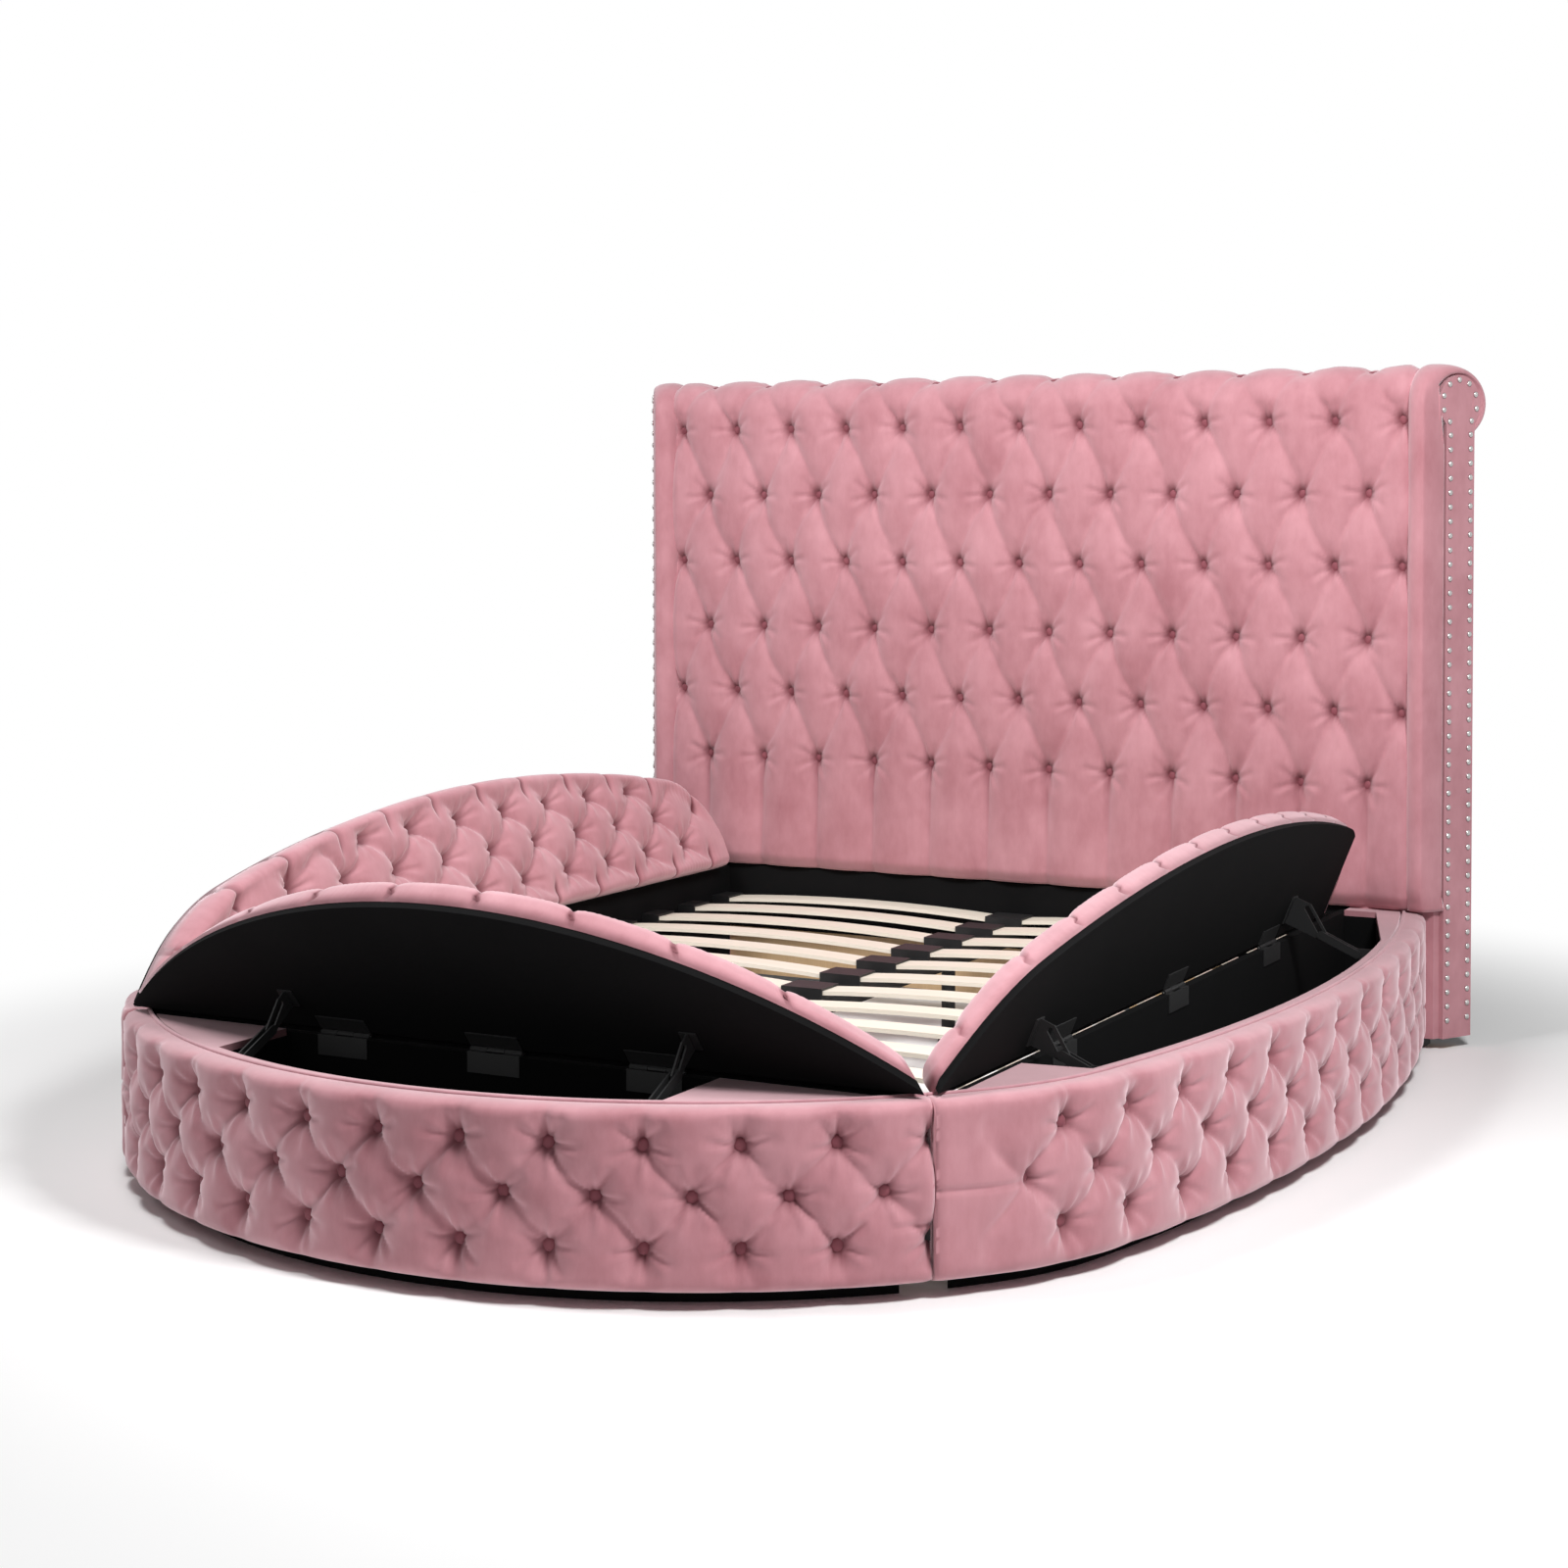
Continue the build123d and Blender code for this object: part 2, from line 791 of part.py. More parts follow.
def lid_padding(is_foot):
    """Tufted padding on the lid, rounded along its outer edge."""
    half = lid_pitch / 2
    diamond = [(-half, 0), (0, -lid_row_step), (half, 0), (0, lid_row_step)]
    with BuildPart() as padding:
        with BuildSketch(Plane.XY.offset(axis_z + lid_pad_low)):
            add(lid_plan(is_foot, lid_inset, -inner_wall / 2))
        extrude(amount=lid_pad - lid_crease)
        top = padding.faces().sort_by(Axis.Z)[-1]
        chamfer(top.edges().sort_by(SortBy.LENGTH)[:-1], length=lid_edge_round)
        tip_cut(is_foot)
        add([
            puff(lid_top_plane(is_foot, along, out), diamond, lid_crease)
            for along, out in lid_cells(is_foot)
        ])
    return opened(padding.part, is_foot)


def lid_button_set(is_foot):
    with BuildPart() as buttons:
        add([
            button_head(lid_top_plane(is_foot, along, out))
            for along, out in lid_grid(is_foot)
        ])
    return opened(buttons.part, is_foot)


# Butt hinges
def hinge_places(is_foot):
    """Section planes of the three hinges; sketch x runs outwards and sketch y upwards."""
    if is_foot:
        return [section_plane(True, step * foot_hinge_step) for step in (-1, 0, 1)]
    return [section_plane(False, side_lid_back / 2 + step * side_hinge_step) for step in (-1, 0, 1)]


def section_plane(is_foot, along):
    """Plane across the hinge line; sketch x runs outwards and sketch y upwards."""
    if is_foot:
        return Plane(origin=(along, foot_axis_y, axis_z), x_dir=(0, -1, 0), z_dir=(-1, 0, 0))
    return Plane(origin=(side_axis_x, foot_edge + along, axis_z), x_dir=(1, 0, 0), z_dir=(0, -1, 0))


def fixed_leaves(is_foot):
    """Cranked leaves on the inner wall, each with two outer knuckles."""
    wall = inner_wall / 2
    top = -hinge_radius - fit_gap
    with BuildPart() as leaves:
        for plane in hinge_places(is_foot):
            with BuildSketch(plane):
                with Locations((wall + leaf_plate / 2, top + leaf_plate - leaf_depth / 2)):
                    Rectangle(leaf_plate, leaf_depth)
            extrude(amount=hinge_length / 2, both=True)
            for side in (-1, 1):
                with BuildSketch(plane.offset(side * hinge_length / 3)):
                    RegularPolygon(hinge_radius, 8, major_radius=False, rotation=22.5)
                    with Locations((wall / 2, top + leaf_plate / 2)):
                        Rectangle(wall, leaf_plate)
                    RegularPolygon(hinge_bore, 6, major_radius=False, mode=Mode.SUBTRACT)
                extrude(amount=(hinge_length / 3 - knuckle_gap) / 2, both=True)
    return leaves


def moving_leaves(is_foot):
    """Flat leaves below the lid board, each with the middle knuckle."""
    low = lid_underside - leaf_plate / 2
    with BuildPart() as leaves:
        for plane in hinge_places(is_foot):
            with BuildSketch(plane):
                with Locations(((leaf_start + leaf_depth) / 2, low)):
                    Rectangle(leaf_depth - leaf_start, leaf_plate)
            extrude(amount=hinge_length / 2, both=True)
            with BuildSketch(plane):
                RegularPolygon(hinge_radius, 8, major_radius=False, rotation=22.5)
                with Locations((leaf_start / 2, low)):
                    Rectangle(leaf_start, leaf_plate)
                RegularPolygon(hinge_bore, 8, major_radius=False, mode=Mode.SUBTRACT)
            extrude(amount=(hinge_length / 3 - knuckle_gap) / 2, both=True)
    return opened(leaves.part, is_foot)


def pins_of(is_foot):
    with BuildPart() as pins:
        for plane in hinge_places(is_foot):
            with BuildSketch(plane):
                Circle(hinge_bore - pin_clearance)
            extrude(amount=hinge_length / 2, both=True)
    return pins


# Lid stays
def stay_sizes(is_foot, share):
    """Pivot of the stay and its pin on the lid, both open and closed, out and up from the hinge."""
    swing = math.radians(foot_lid_open if is_foot else side_lid_open)
    pivot = (stay_out * share, -stay_drop * share)
    pins = []
    angles = (foot_stay_open, foot_stay_closed) if is_foot else (side_stay_open, side_stay_closed)
    for angle in angles:
        turn = math.radians(angle)
        pins.append((
            pivot[0] + stay_length * share * math.cos(turn),
            pivot[1] + stay_length * share * math.sin(turn),
        ))
    raised = pins[0]
    fin_open = (
        raised[0] * math.cos(swing) + raised[1] * math.sin(swing),
        raised[1] * math.cos(swing) - raised[0] * math.sin(swing),
    )
    return pivot, raised, fin_open, pins[1]


def strap_at(start, end, width, mode=Mode.ADD):
    """Strip between two places of the open sketch, its ends cut back at the corners."""
    length = math.dist(start, end)
    turn = math.atan2(end[1] - start[1], end[0] - start[0])
    half = width / 2
    cut = half * math.tan(math.pi / 8)
    side = [(-half, -cut), (-cut, -half), (length + cut, -half), (length + half, -cut)]
    corners = side + [(along, -across) for along, across in reversed(side)]
    places = [
        (
            start[0] + along * math.cos(turn) - across * math.sin(turn),
            start[1] + along * math.sin(turn) + across * math.cos(turn),
        )
        for along, across in corners
    ]
    Polygon(*places, align=None, mode=mode)


def stay_arm(is_foot, along, share):
    """Twin straps with a pin at each end, drawn where they stand when the lid is open."""
    pivot, raised, _, _ = stay_sizes(is_foot, share)
    plane = section_plane(is_foot, along)
    with BuildPart() as arm:
        for side in (-1, 1):
            with BuildSketch(plane.offset(side * (stay_spread + stay_strap) / 2)):
                strap_at(pivot, raised, stay_width)
            extrude(amount=stay_strap / 2, both=True)
        with BuildSketch(plane):
            with Locations(pivot):
                Circle(stay_pin)
            with Locations(raised):
                RegularPolygon(stay_pin, 6)
        extrude(amount=stay_spread / 2, both=True)
    return arm


def stay_fin(is_foot, along, share):
    """Slotted fin below the lid board, with the flange that is screwed to it."""
    _, _, fin_open, fin_closed = stay_sizes(is_foot, share)
    near = fin_open[0] - fin_margin
    far = fin_closed[0] + fin_margin
    plane = section_plane(is_foot, along)
    with BuildPart() as fin:
        with BuildSketch(plane):
            strap_at(fin_open, fin_closed, 2 * fin_margin)
            with BuildLine():
                Polyline(
                    (near, lid_underside),
                    (far, lid_underside),
                    (far, fin_closed[1]),
                    (near, fin_open[1]),
                    close=True,
                )
            make_face()
            strap_at(fin_open, fin_closed, 2 * (stay_pin + slot_play), mode=Mode.SUBTRACT)
        extrude(amount=fin_plate / 2, both=True)
        with BuildSketch(plane):
            with Locations(((near + far) / 2, lid_underside - fin_flange_plate / 2)):
                Rectangle(far - near, fin_flange_plate)
        extrude(amount=fin_flange / 2, both=True)
    return opened(fin.part, is_foot)


def stay_lug(is_foot, along, share):
    """Lug on the bent wall that carries the stay's pivot."""
    pivot = stay_sizes(is_foot, share)[0]
    inside = wall_pad + wall_ply + fit_gap
    plane = section_plane(is_foot, along)
    if is_foot:
        reach = foot_axis_y - outline_y(along, inside) + fin_margin
    else:
        reach = outline_x(foot_edge + along, inside) - side_axis_x + fin_margin
    x, y = lid_place(is_foot, along, reach)
    low = axis_z + pivot[1] - lug_flange_height + fin_margin / 2
    with BuildPart() as lug:
        with BuildSketch(plane):
            strap_at(pivot, (reach, pivot[1]), 2 * fin_margin)
            with Locations(pivot):
                RegularPolygon(stay_pin + fit_gap, 8, major_radius=False, mode=Mode.SUBTRACT)
        extrude(amount=fin_plate / 2, both=True)
        with BuildSketch(Plane.XY.offset(plinth_height)):
            add(plan_face(inside))
        extrude(amount=rim_height - plinth_height, mode=Mode.INTERSECT)
        with BuildSketch(Plane.XY.offset(low)):
            with Locations((x, y)):
                if is_foot:
                    Rectangle(2 * lug_flange_half, 2 * reach)
                else:
                    Rectangle(2 * reach, 2 * lug_flange_half)
            add(plan_face(inside), mode=Mode.INTERSECT)
            add(plan_face(inside + lug_flange), mode=Mode.SUBTRACT)
        extrude(amount=lug_flange_height)
    return lug


# Slatted base
slat_end_top = rim_height - slat_drop
bearing_height = slat_end_top - (slat_thickness + holder_height) / 2


def slat_section(growth):
    """Upright section of one bowed slat, grown all round by a little play."""
    start = slat_middle_gap - growth
    end = half_opening - slat_end_gap + growth
    middle = (start + end) / 2
    top = slat_end_top + growth
    low = slat_end_top - slat_thickness - growth
    with BuildSketch(Plane.XZ) as section:
        with BuildLine():
            ThreePointArc((start, top), (middle, top + slat_camber), (end, top))
            Line((end, top), (end, low))
            ThreePointArc((end, low), (middle, low + slat_camber), (start, low))
            Line((start, low), (start, top))
        make_face()
        mirror(about=Plane.YZ)
    return section.sketch


def slat_lines():
    """Places of the slats along the bed."""
    return [foot_edge + slat_first + slat_width / 4 + number * slat_pitch for number in range(slat_count)]


def slat_set():
    with BuildPart() as slats:
        with Locations([(0, y + slat_width / 2, 0) for y in slat_lines()]):
            add(extrude(slat_section(0), amount=slat_width, mode=Mode.PRIVATE))
    return slats


def holder_set(low, high):
    """Soft pockets that take the slat ends, between two distances from the middle."""
    with BuildPart() as holders:
        for y in slat_lines():
            with BuildSketch(Plane.XY.offset(bearing_height)):
                for side in (-1, 1):
                    with Locations((side * (low + high) / 2, y)):
                        Rectangle(high - low, holder_width)
            extrude(amount=holder_height)
        room = extrude(slat_section(fit_gap), amount=slat_width + 2 * fit_gap, mode=Mode.PRIVATE)
        with Locations([(0, y + slat_width / 2 + fit_gap, 0) for y in slat_lines()]):
            add(room, mode=Mode.SUBTRACT)
    return holders


def ledge_set():
    """Bearers along the side walls for the outer slat pockets."""
    with BuildPart() as ledges:
        for side in (-1, 1):
            middle = side * (half_opening - ledge_width / 2)
            with Locations((middle, foot_edge + opening_length / 2, bearing_height - ledge_height / 2)):
                Box(ledge_width, opening_length - 2 * seam_gap, ledge_height)
    return ledges


def middle_beam():
    with BuildPart() as beam:
        with Locations((0, foot_edge + opening_length / 2, bearing_height - beam_height / 2)):
            Box(beam_width, opening_length - 2 * fit_gap, beam_height)
            Box(
                beam_width - 2 * beam_wall,
                opening_length - 2 * fit_gap,
                beam_height - 2 * beam_wall,
                mode=Mode.SUBTRACT,
            )
    return beam


def middle_legs():
    """Legs below the beam, each on a wider foot."""
    middle = foot_edge + opening_length / 2
    spots = [(0, middle + (number - (leg_count - 1) / 2) * leg_step) for number in range(leg_count)]
    with BuildPart() as legs:
        with BuildSketch():
            with Locations(*spots):
                RegularPolygon(leg_foot_radius, 8)
        extrude(amount=leg_foot_height)
        with BuildSketch():
            with Locations(*spots):
                Circle(leg_radius)
        extrude(amount=bearing_height - beam_height)
    return legs


def corner_bracket_set():
    """Angle plates in the two foot corners of the opening, with their bolt heads."""
    low = bracket_low
    with BuildPart() as brackets:
        with BuildSketch(Plane.XY.offset(low)):
            with Locations((half_opening, foot_edge)):
                Rectangle(bracket_leg, bracket_leg, align=(Align.MAX, Align.MIN))
                with Locations((-bracket_plate, bracket_plate)):
                    Rectangle(
                        bracket_leg, bracket_leg, align=(Align.MAX, Align.MIN), mode=Mode.SUBTRACT
                    )
        extrude(amount=bracket_height)
        for share in (1 / 4, 3 / 4):
            height = low + bracket_height * share
            reach = bracket_leg / 2 + bracket_plate
            with BuildSketch(Plane.XZ.offset(-foot_edge - bracket_plate)):
                with Locations((half_opening - reach, height)):
                    RegularPolygon(bolt_radius, 6)
            extrude(amount=-bolt_height)
            with BuildSketch(Plane.YZ.offset(half_opening - bracket_plate)):
                with Locations((foot_edge + reach, height)):
                    RegularPolygon(bolt_radius, 6)
            extrude(amount=-bolt_height)
        mirror(about=Plane.YZ)
    return brackets


# Headboard
def splay_x(y, inset):
    """Where the splayed end face lies across the bed, drawn in by an inset."""
    run = y - head_y + end_board_front
    return end_board_half + run * math.tan(math.radians(splay)) - inset / math.cos(math.radians(splay))


def splay_face(front, back, inset):
    """Plan between two places along the bed and the two splayed ends."""
    with BuildSketch() as plan:
        with BuildLine():
            Polyline(
                (-splay_x(front, inset), front),
                (splay_x(front, inset), front),
                (splay_x(back, inset), back),
                (-splay_x(back, inset), back),
                close=True,
            )
        make_face()
    return plan.sketch


def roll_disc(radius, half, growth=0):
    """Disc along the roll's axis, added to or taken from the open part."""
    with BuildSketch(Plane.YZ) as disc:
        with Locations((roll_y, roll_z)):
            Circle(radius + growth)
    return extrude(disc.sketch, amount=half + growth, both=True, mode=Mode.PRIVATE)


former_half = splay_x(roll_y - roll_former, end_board + fit_gap)


def core_board():
    """Board of the headboard with the round former of its roll."""
    with BuildPart() as core:
        with BuildSketch(Plane.XY.offset(plinth_height)):
            add(splay_face(head_y, core_back, end_board + fit_gap))
        extrude(amount=roll_z - plinth_height)
        add(roll_disc(roll_former, former_half))
    return core


def core_room():
    """The core with a little play, taken from the open part."""
    room = splay_face(head_y - fit_gap, core_back + fit_gap, 0)
    extrude(room, amount=roll_z + fit_gap, mode=Mode.SUBTRACT)
    add(roll_disc(roll_former, half_width, fit_gap), mode=Mode.SUBTRACT)


def back_cover():
    """Flat covered panel that closes the back below the roll."""
    with BuildPart() as cover:
        with BuildSketch(Plane.XY.offset(plinth_height)):
            add(splay_face(core_back, core_back + back_panel, end_board + fit_gap))
        extrude(amount=roll_z - back_drop - plinth_height)
    return cover


def head_button_rows():
    """Buttons of the flat face: distance from the middle and height."""
    spots = []
    for row in range(head_rows):
        odd = row % 2 == 1
        count = head_columns - 1 if odd else head_columns
        for number in range(count):
            spots.append(((number - (count - 1) / 2) * head_pitch, head_row_top - row * head_row_step))
    return spots


def head_plane(x, height):
    """Upright plane on the pad's sewn face, facing the foot of the bed."""
    return Plane(origin=(x, pad_front, height), x_dir=(1, 0, 0), z_dir=(0, -1, 0))


def roll_crown_at(angle):
    """Radius of the roll's crowns at an angle from the front, growing towards the top."""
    share = min(1, angle / 90)
    low = roll_y - pad_front + head_tuft
    return low + (roll_crown - low) * share**2 * (3 - 2 * share)


def head_grid_rows():
    """Rows of the pad's corners: a height or an angle, whether it is on the roll, and its depths
    in even, in odd and in the end columns."""
    rows = [(pad_bottom, False, head_edge_depth, low_pleat, pad_end_depth)]
    for row in range(head_rows - 1, -1, -1):
        height = head_row_top - row * head_row_step
        sewn = (0, head_tuft, pad_end_depth) if row % 2 else (head_tuft, 0, head_tuft)
        rows.append((height, False, *sewn))
    turn = roll_row_turn
    rows.append((0, True, head_tuft * pleat_share, 0, pad_end_depth))
    rows.append((turn, True, *[roll_half_way_depth] * 3))
    rows.append((2 * turn, True, 0, roll_tuft, roll_half_way_depth))
    rows.append((3 * turn, True, *[roll_half_way_depth] * 3))
    rows.append((4 * turn, True, roll_tuft * pleat_share, 0, roll_half_way_depth))
    rows.append((5 * turn, True, *[roll_half_way_depth] * 3))
    return rows


def head_padding():
    """Tufted face of the headboard in one piece with its rolled top, hollow for the core."""
    steps = [step for step in range(1 - head_columns, head_columns)]
    across = [-pad_half, *[step * head_pitch / 2 for step in steps], pad_half]
    kinds = [2, *[abs(step) % 2 for step in steps], 2]
    width = len(across)
    depths = []
    points = []
    for place, on_roll, *row_depths in head_grid_rows():
        line = [row_depths[kind] for kind in kinds]
        depths.append(line)
        for x, depth in zip(across, line):
            if on_roll:
                radius = roll_crown_at(place) - depth
                turn = math.radians(place)
                points.append((x, roll_y - radius * math.cos(turn), roll_z + radius * math.sin(turn)))
            else:
                points.append((x, pad_front - head_tuft + depth, place))
    behind = core_back + fit_gap
    former = roll_former + fit_gap
    fall = math.sqrt(roll_crown**2 - (behind - roll_y) ** 2)
    depths.append([0] * width)
    points += [(x, behind, roll_z - fall) for x in across]
    inner = [
        (head_y - fit_gap, pad_bottom),
        (head_y - fit_gap, roll_z - former),
        (roll_y - former, roll_z - former),
        (roll_y - former, roll_z + former),
        (behind, roll_z + former),
    ]
    first = len(points)
    count = len(inner)
    points += [(-pad_half, *place) for place in inner] + [(pad_half, *place) for place in inner]
    loops = tufted_loops(depths)
    loops += [
        (first + n, first + n + 1, first + count + n + 1, first + count + n) for n in range(count - 1)
    ]
    loops.append([*range(width), first + count, first])
    loops.append([*range(first - width, first), first + 2 * count - 1, first + count - 1])
    loops.append([*range(0, first, width), *range(first + count - 1, first - 1, -1)])
    loops.append([*range(width - 1, first, width), *range(first + 2 * count - 1, first + count - 1, -1)])
    return facet_solid(points, loops)


def head_buttons():
    """Buttons of the flat face and one row near the top of the roll."""
    angle = 2 * roll_row_turn
    lean = math.radians(angle)
    groove = roll_crown_at(angle) - roll_tuft
    planes = [head_plane(x, height) for x, height in head_button_rows()]
    for number in range(head_columns - 1):
        planes.append(
            Plane(
                origin=(
                    (number - (head_columns - 2) / 2) * head_pitch,
                    roll_y - groove * math.cos(lean),
                    roll_z + groove * math.sin(lean),
                ),
                x_dir=(1, 0, 0),
                z_dir=(0, -math.cos(lean), math.sin(lean)),
            )
        )
    with BuildPart() as buttons:
        add([button_head(plane) for plane in planes])
    return buttons


def end_plane():
    """Plane of the right end board's outer face; sketch x runs back and sketch y up."""
    turn = math.radians(splay)
    return Plane(
        origin=(end_board_half, head_y - end_board_front, 0),
        x_dir=(math.sin(turn), math.cos(turn), 0),
        z_dir=(math.cos(turn), -math.sin(turn), 0),
    )


def end_board_solid(growth):
    """Flat end board with the round head that follows the roll."""
    turn = math.cos(math.radians(splay))
    depth = (end_board_front + core_thickness + back_panel) / turn
    middle = (roll_y - head_y + end_board_front) / turn
    low = plinth_height - growth
    with BuildPart() as board:
        with BuildSketch(end_plane().offset(growth)):
            with Locations((-growth, low)):
                Rectangle(depth + 2 * growth, roll_z - low, align=(Align.MIN, Align.MIN))
            with Locations((middle, roll_z)):
                Circle(end_disc_radius + growth)
        extrude(amount=-end_board - growth)
    return board.part


def bolster():
    """Smooth padded band of the right end, running up the front and round the roll."""
    middle = pad_half + fit_gap + bolster_radius
    front = roll_y - roll_radius + bolster_radius
    cut = bolster_radius * math.tan(math.pi / 8)
    with BuildPart() as band:
        with BuildSketch(Plane.XY.offset(pad_bottom)):
            with Locations((middle, front)):
                RegularPolygon(bolster_radius, 8, major_radius=False, rotation=22.5)
                Rectangle(2 * bolster_radius, head_y - front, align=(Align.CENTER, Align.MIN))
        extrude(amount=roll_z - pad_bottom)
        with BuildSketch(Plane.XY.offset(roll_z)):
            with BuildLine():
                Polyline(
                    (middle - bolster_radius, roll_y),
                    (middle - bolster_radius, front - cut),
                    (middle - cut, front - bolster_radius),
                    (half_width, front - bolster_radius),
                    (half_width, roll_y),
                    close=True,
                )
            make_face()
        revolve(axis=Axis((0, roll_y, roll_z), (1, 0, 0)))
        with BuildSketch(end_plane()):
            with Locations((0, roll_z)):
                Rectangle(4 * roll_radius, 4 * roll_radius)
        extrude(amount=half_width, mode=Mode.SUBTRACT)
        core_room()
        add(end_board_solid(fit_gap), mode=Mode.SUBTRACT)
    return band.part


def leg_pads():
    """Flat covered panels below the bands, beside the mattress opening."""
    start = inner_side + fit_gap
    with BuildPart() as pads:
        with BuildSketch(Plane.XY.offset(plinth_height)):
            add(splay_face(head_y - head_rail + fit_gap, head_y - fit_gap, end_board + fit_gap))
            Rectangle(2 * start, 4 * half_width, mode=Mode.SUBTRACT)
        extrude(amount=pad_bottom - fit_gap - plinth_height)
        add(end_board_solid(fit_gap), mode=Mode.SUBTRACT)
        add(end_board_solid(fit_gap).mirror(Plane.YZ), mode=Mode.SUBTRACT)
    return pads


def rail():
    """Black rail that closes the head end of the opening."""
    low = bearing_height - beam_height - holder_height
    with BuildPart() as board:
        with BuildSketch(Plane.XY.offset(low)):
            with Locations((0, head_y)):
                Rectangle(2 * inner_side, head_rail, align=(Align.CENTER, Align.MAX))
        extrude(amount=rim_height - low)
    return board


def head_feet():
    """Black blocks below the headboard."""
    side = end_board_half - foot_block_width
    middle = head_y + core_thickness / 2
    with BuildPart() as feet:
        with BuildSketch():
            with Locations((-side, middle), (0, middle), (side, middle)):
                Rectangle(foot_block_width, foot_block_depth)
        extrude(amount=plinth_height)
    return feet


# Saving
def save(shape, name):
    """Names one piece and writes its file."""
    shape.label = name
    export_step(shape, f"parts/{name}.step")


def both_sides(shape):
    """The right side's solids with their mirrored twins."""
    with BuildPart() as pair:
        add(shape)
        mirror(about=Plane.YZ)
    return pair.part


def all_round(make):
    """One part with the foot's, the right side's and the left side's share."""
    with BuildPart() as ring:
        add(make(True))
        add(both_sides(make(False).part))
    return ring.part


def shape_of(made):
    """The shape itself, whether a builder or a finished shape was made."""
    return made.part if isinstance(made, BuildPart) else made


def save_segment(name, make):
    """Saves the foot's, the right and the left piece of one kind."""
    side = shape_of(make(False))
    save(shape_of(make(True)), f"foot_{name}")
    save(side, f"right_{name}")
    save(side.mirror(Plane.YZ), f"left_{name}")


def fins_of(is_foot):
    """Both slotted fins of one lid."""
    with BuildPart() as fins:
        for along, share in stays_of(is_foot):
            add(stay_fin(is_foot, along, share))
    return fins


def stays_of(is_foot):
    """Places of a lid's two stays along the hinge line, with their share of the full size."""
    if is_foot:
        return [(-foot_stay_place, 1), (foot_stay_place, 1)]
    return [(side_stay_front, front_stay_share), (side_lid_back - side_stay_rear_gap, 1)]


def lugs_of(is_foot):
    with BuildPart() as lugs:
        for along, share in stays_of(is_foot):
            add(stay_lug(is_foot, along, share))
    return lugs


def main():
    os.makedirs("parts", exist_ok=True)
    save_segment("inner_wall", inner_wall_board)
    save_segment("curved_wall", curved_wall_board)
    save_segment("box_floor", floor_panel)
    save_segment("end_walls", end_wall_boards)
    save_segment("wall_pad", wall_padding)
    save(all_round(wall_buttons), "wall_buttons")
    save(all_round(deck_panels), "rim_decks")
    save(all_round(plinth_strip), "base_plinth")
    save(middle_beam().part, "centre_beam")
    save(middle_legs().part, "centre_legs")
    save(slat_set().part, "slats")
    outer_end = half_opening - fit_gap
    save(holder_set(outer_end - holder_depth, outer_end).part, "side_slat_holders")
    save(holder_set(0, centre_holder_half).part, "centre_slat_holders")
    save(ledge_set().part, "slat_ledges")
    save(corner_bracket_set().part, "corner_brackets")
    save(all_round(fixed_leaves), "hinge_fixed_leaves")
    save(all_round(pins_of), "hinge_pins")
    save(all_round(lugs_of), "stay_lugs")
    save_segment("lid_board", lid_panel)
    save_segment("lid_pad", lid_padding)
    save_segment("lid_buttons", lid_button_set)
    save_segment("lid_hinge_leaves", moving_leaves)
    save_segment("lid_stay_fins", fins_of)
    save(stay_arm(True, -foot_stay_place, 1).part, "foot_left_stay")
    save(stay_arm(True, foot_stay_place, 1).part, "foot_right_stay")
    for place, (along, share) in zip(("front", "rear"), stays_of(False)):
        arm = stay_arm(False, along, share).part
        save(arm, f"right_{place}_stay")
        save(arm.mirror(Plane.YZ), f"left_{place}_stay")
    save(core_board().part, "headboard_core")
    save(back_cover().part, "headboard_back")
    save(head_padding(), "headboard_pad")
    save(head_buttons().part, "headboard_buttons")
    band = bolster()
    save(band, "right_bolster")
    save(band.mirror(Plane.YZ), "left_bolster")
    end = end_board_solid(0)
    save(end, "right_end_board")
    save(end.mirror(Plane.YZ), "left_end_board")
    save(leg_pads().part, "headboard_leg_pads")
    save(rail().part, "head_rail")
    save(head_feet().part, "headboard_feet")


main()
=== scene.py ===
"""Dresses the round-plan upholstered storage bed: velvet tufting, bands, piping, nails and lights."""

import json
import math

import bpy
import numpy as np
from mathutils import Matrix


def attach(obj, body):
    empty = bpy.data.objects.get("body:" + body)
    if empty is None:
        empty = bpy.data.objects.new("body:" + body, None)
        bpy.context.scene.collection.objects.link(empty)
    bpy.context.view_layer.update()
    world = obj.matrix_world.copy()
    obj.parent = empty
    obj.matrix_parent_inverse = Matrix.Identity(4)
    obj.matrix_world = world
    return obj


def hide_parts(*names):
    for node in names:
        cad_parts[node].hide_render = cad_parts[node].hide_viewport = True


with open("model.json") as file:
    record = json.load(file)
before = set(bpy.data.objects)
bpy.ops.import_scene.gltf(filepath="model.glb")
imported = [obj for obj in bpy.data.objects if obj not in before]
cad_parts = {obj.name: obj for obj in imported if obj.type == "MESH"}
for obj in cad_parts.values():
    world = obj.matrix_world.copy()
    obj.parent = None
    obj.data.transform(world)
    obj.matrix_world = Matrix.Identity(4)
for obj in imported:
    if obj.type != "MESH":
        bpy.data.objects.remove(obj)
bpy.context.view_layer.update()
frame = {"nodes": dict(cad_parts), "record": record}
MM = 0.001

# Walls: sizes in millimetres and angles in degrees, as in the solids
half_opening = 765
opening_length = 2052
foot_reach = 342
half_width = 1071
foot_radius = 1099
corner_radius = 540
side_radius = 3530
foot_arc_end = 52
rim = 295
plinth = 25
wall_pitch = 150
wall_rows = (88, 163, 238)

# Headboard, as in the solids; its face lies head_face behind the opening's foot edge
bed_height = 1467
head_face = 2085
roll_radius = 84
roll_behind = 10
head_pitch = 149
head_step = 157
head_top_row = 1348
roll_row = head_top_row + head_step
pad_half = 908
pad_low = 300
end_half = 986
end_front = 24
splay = math.radians(30)

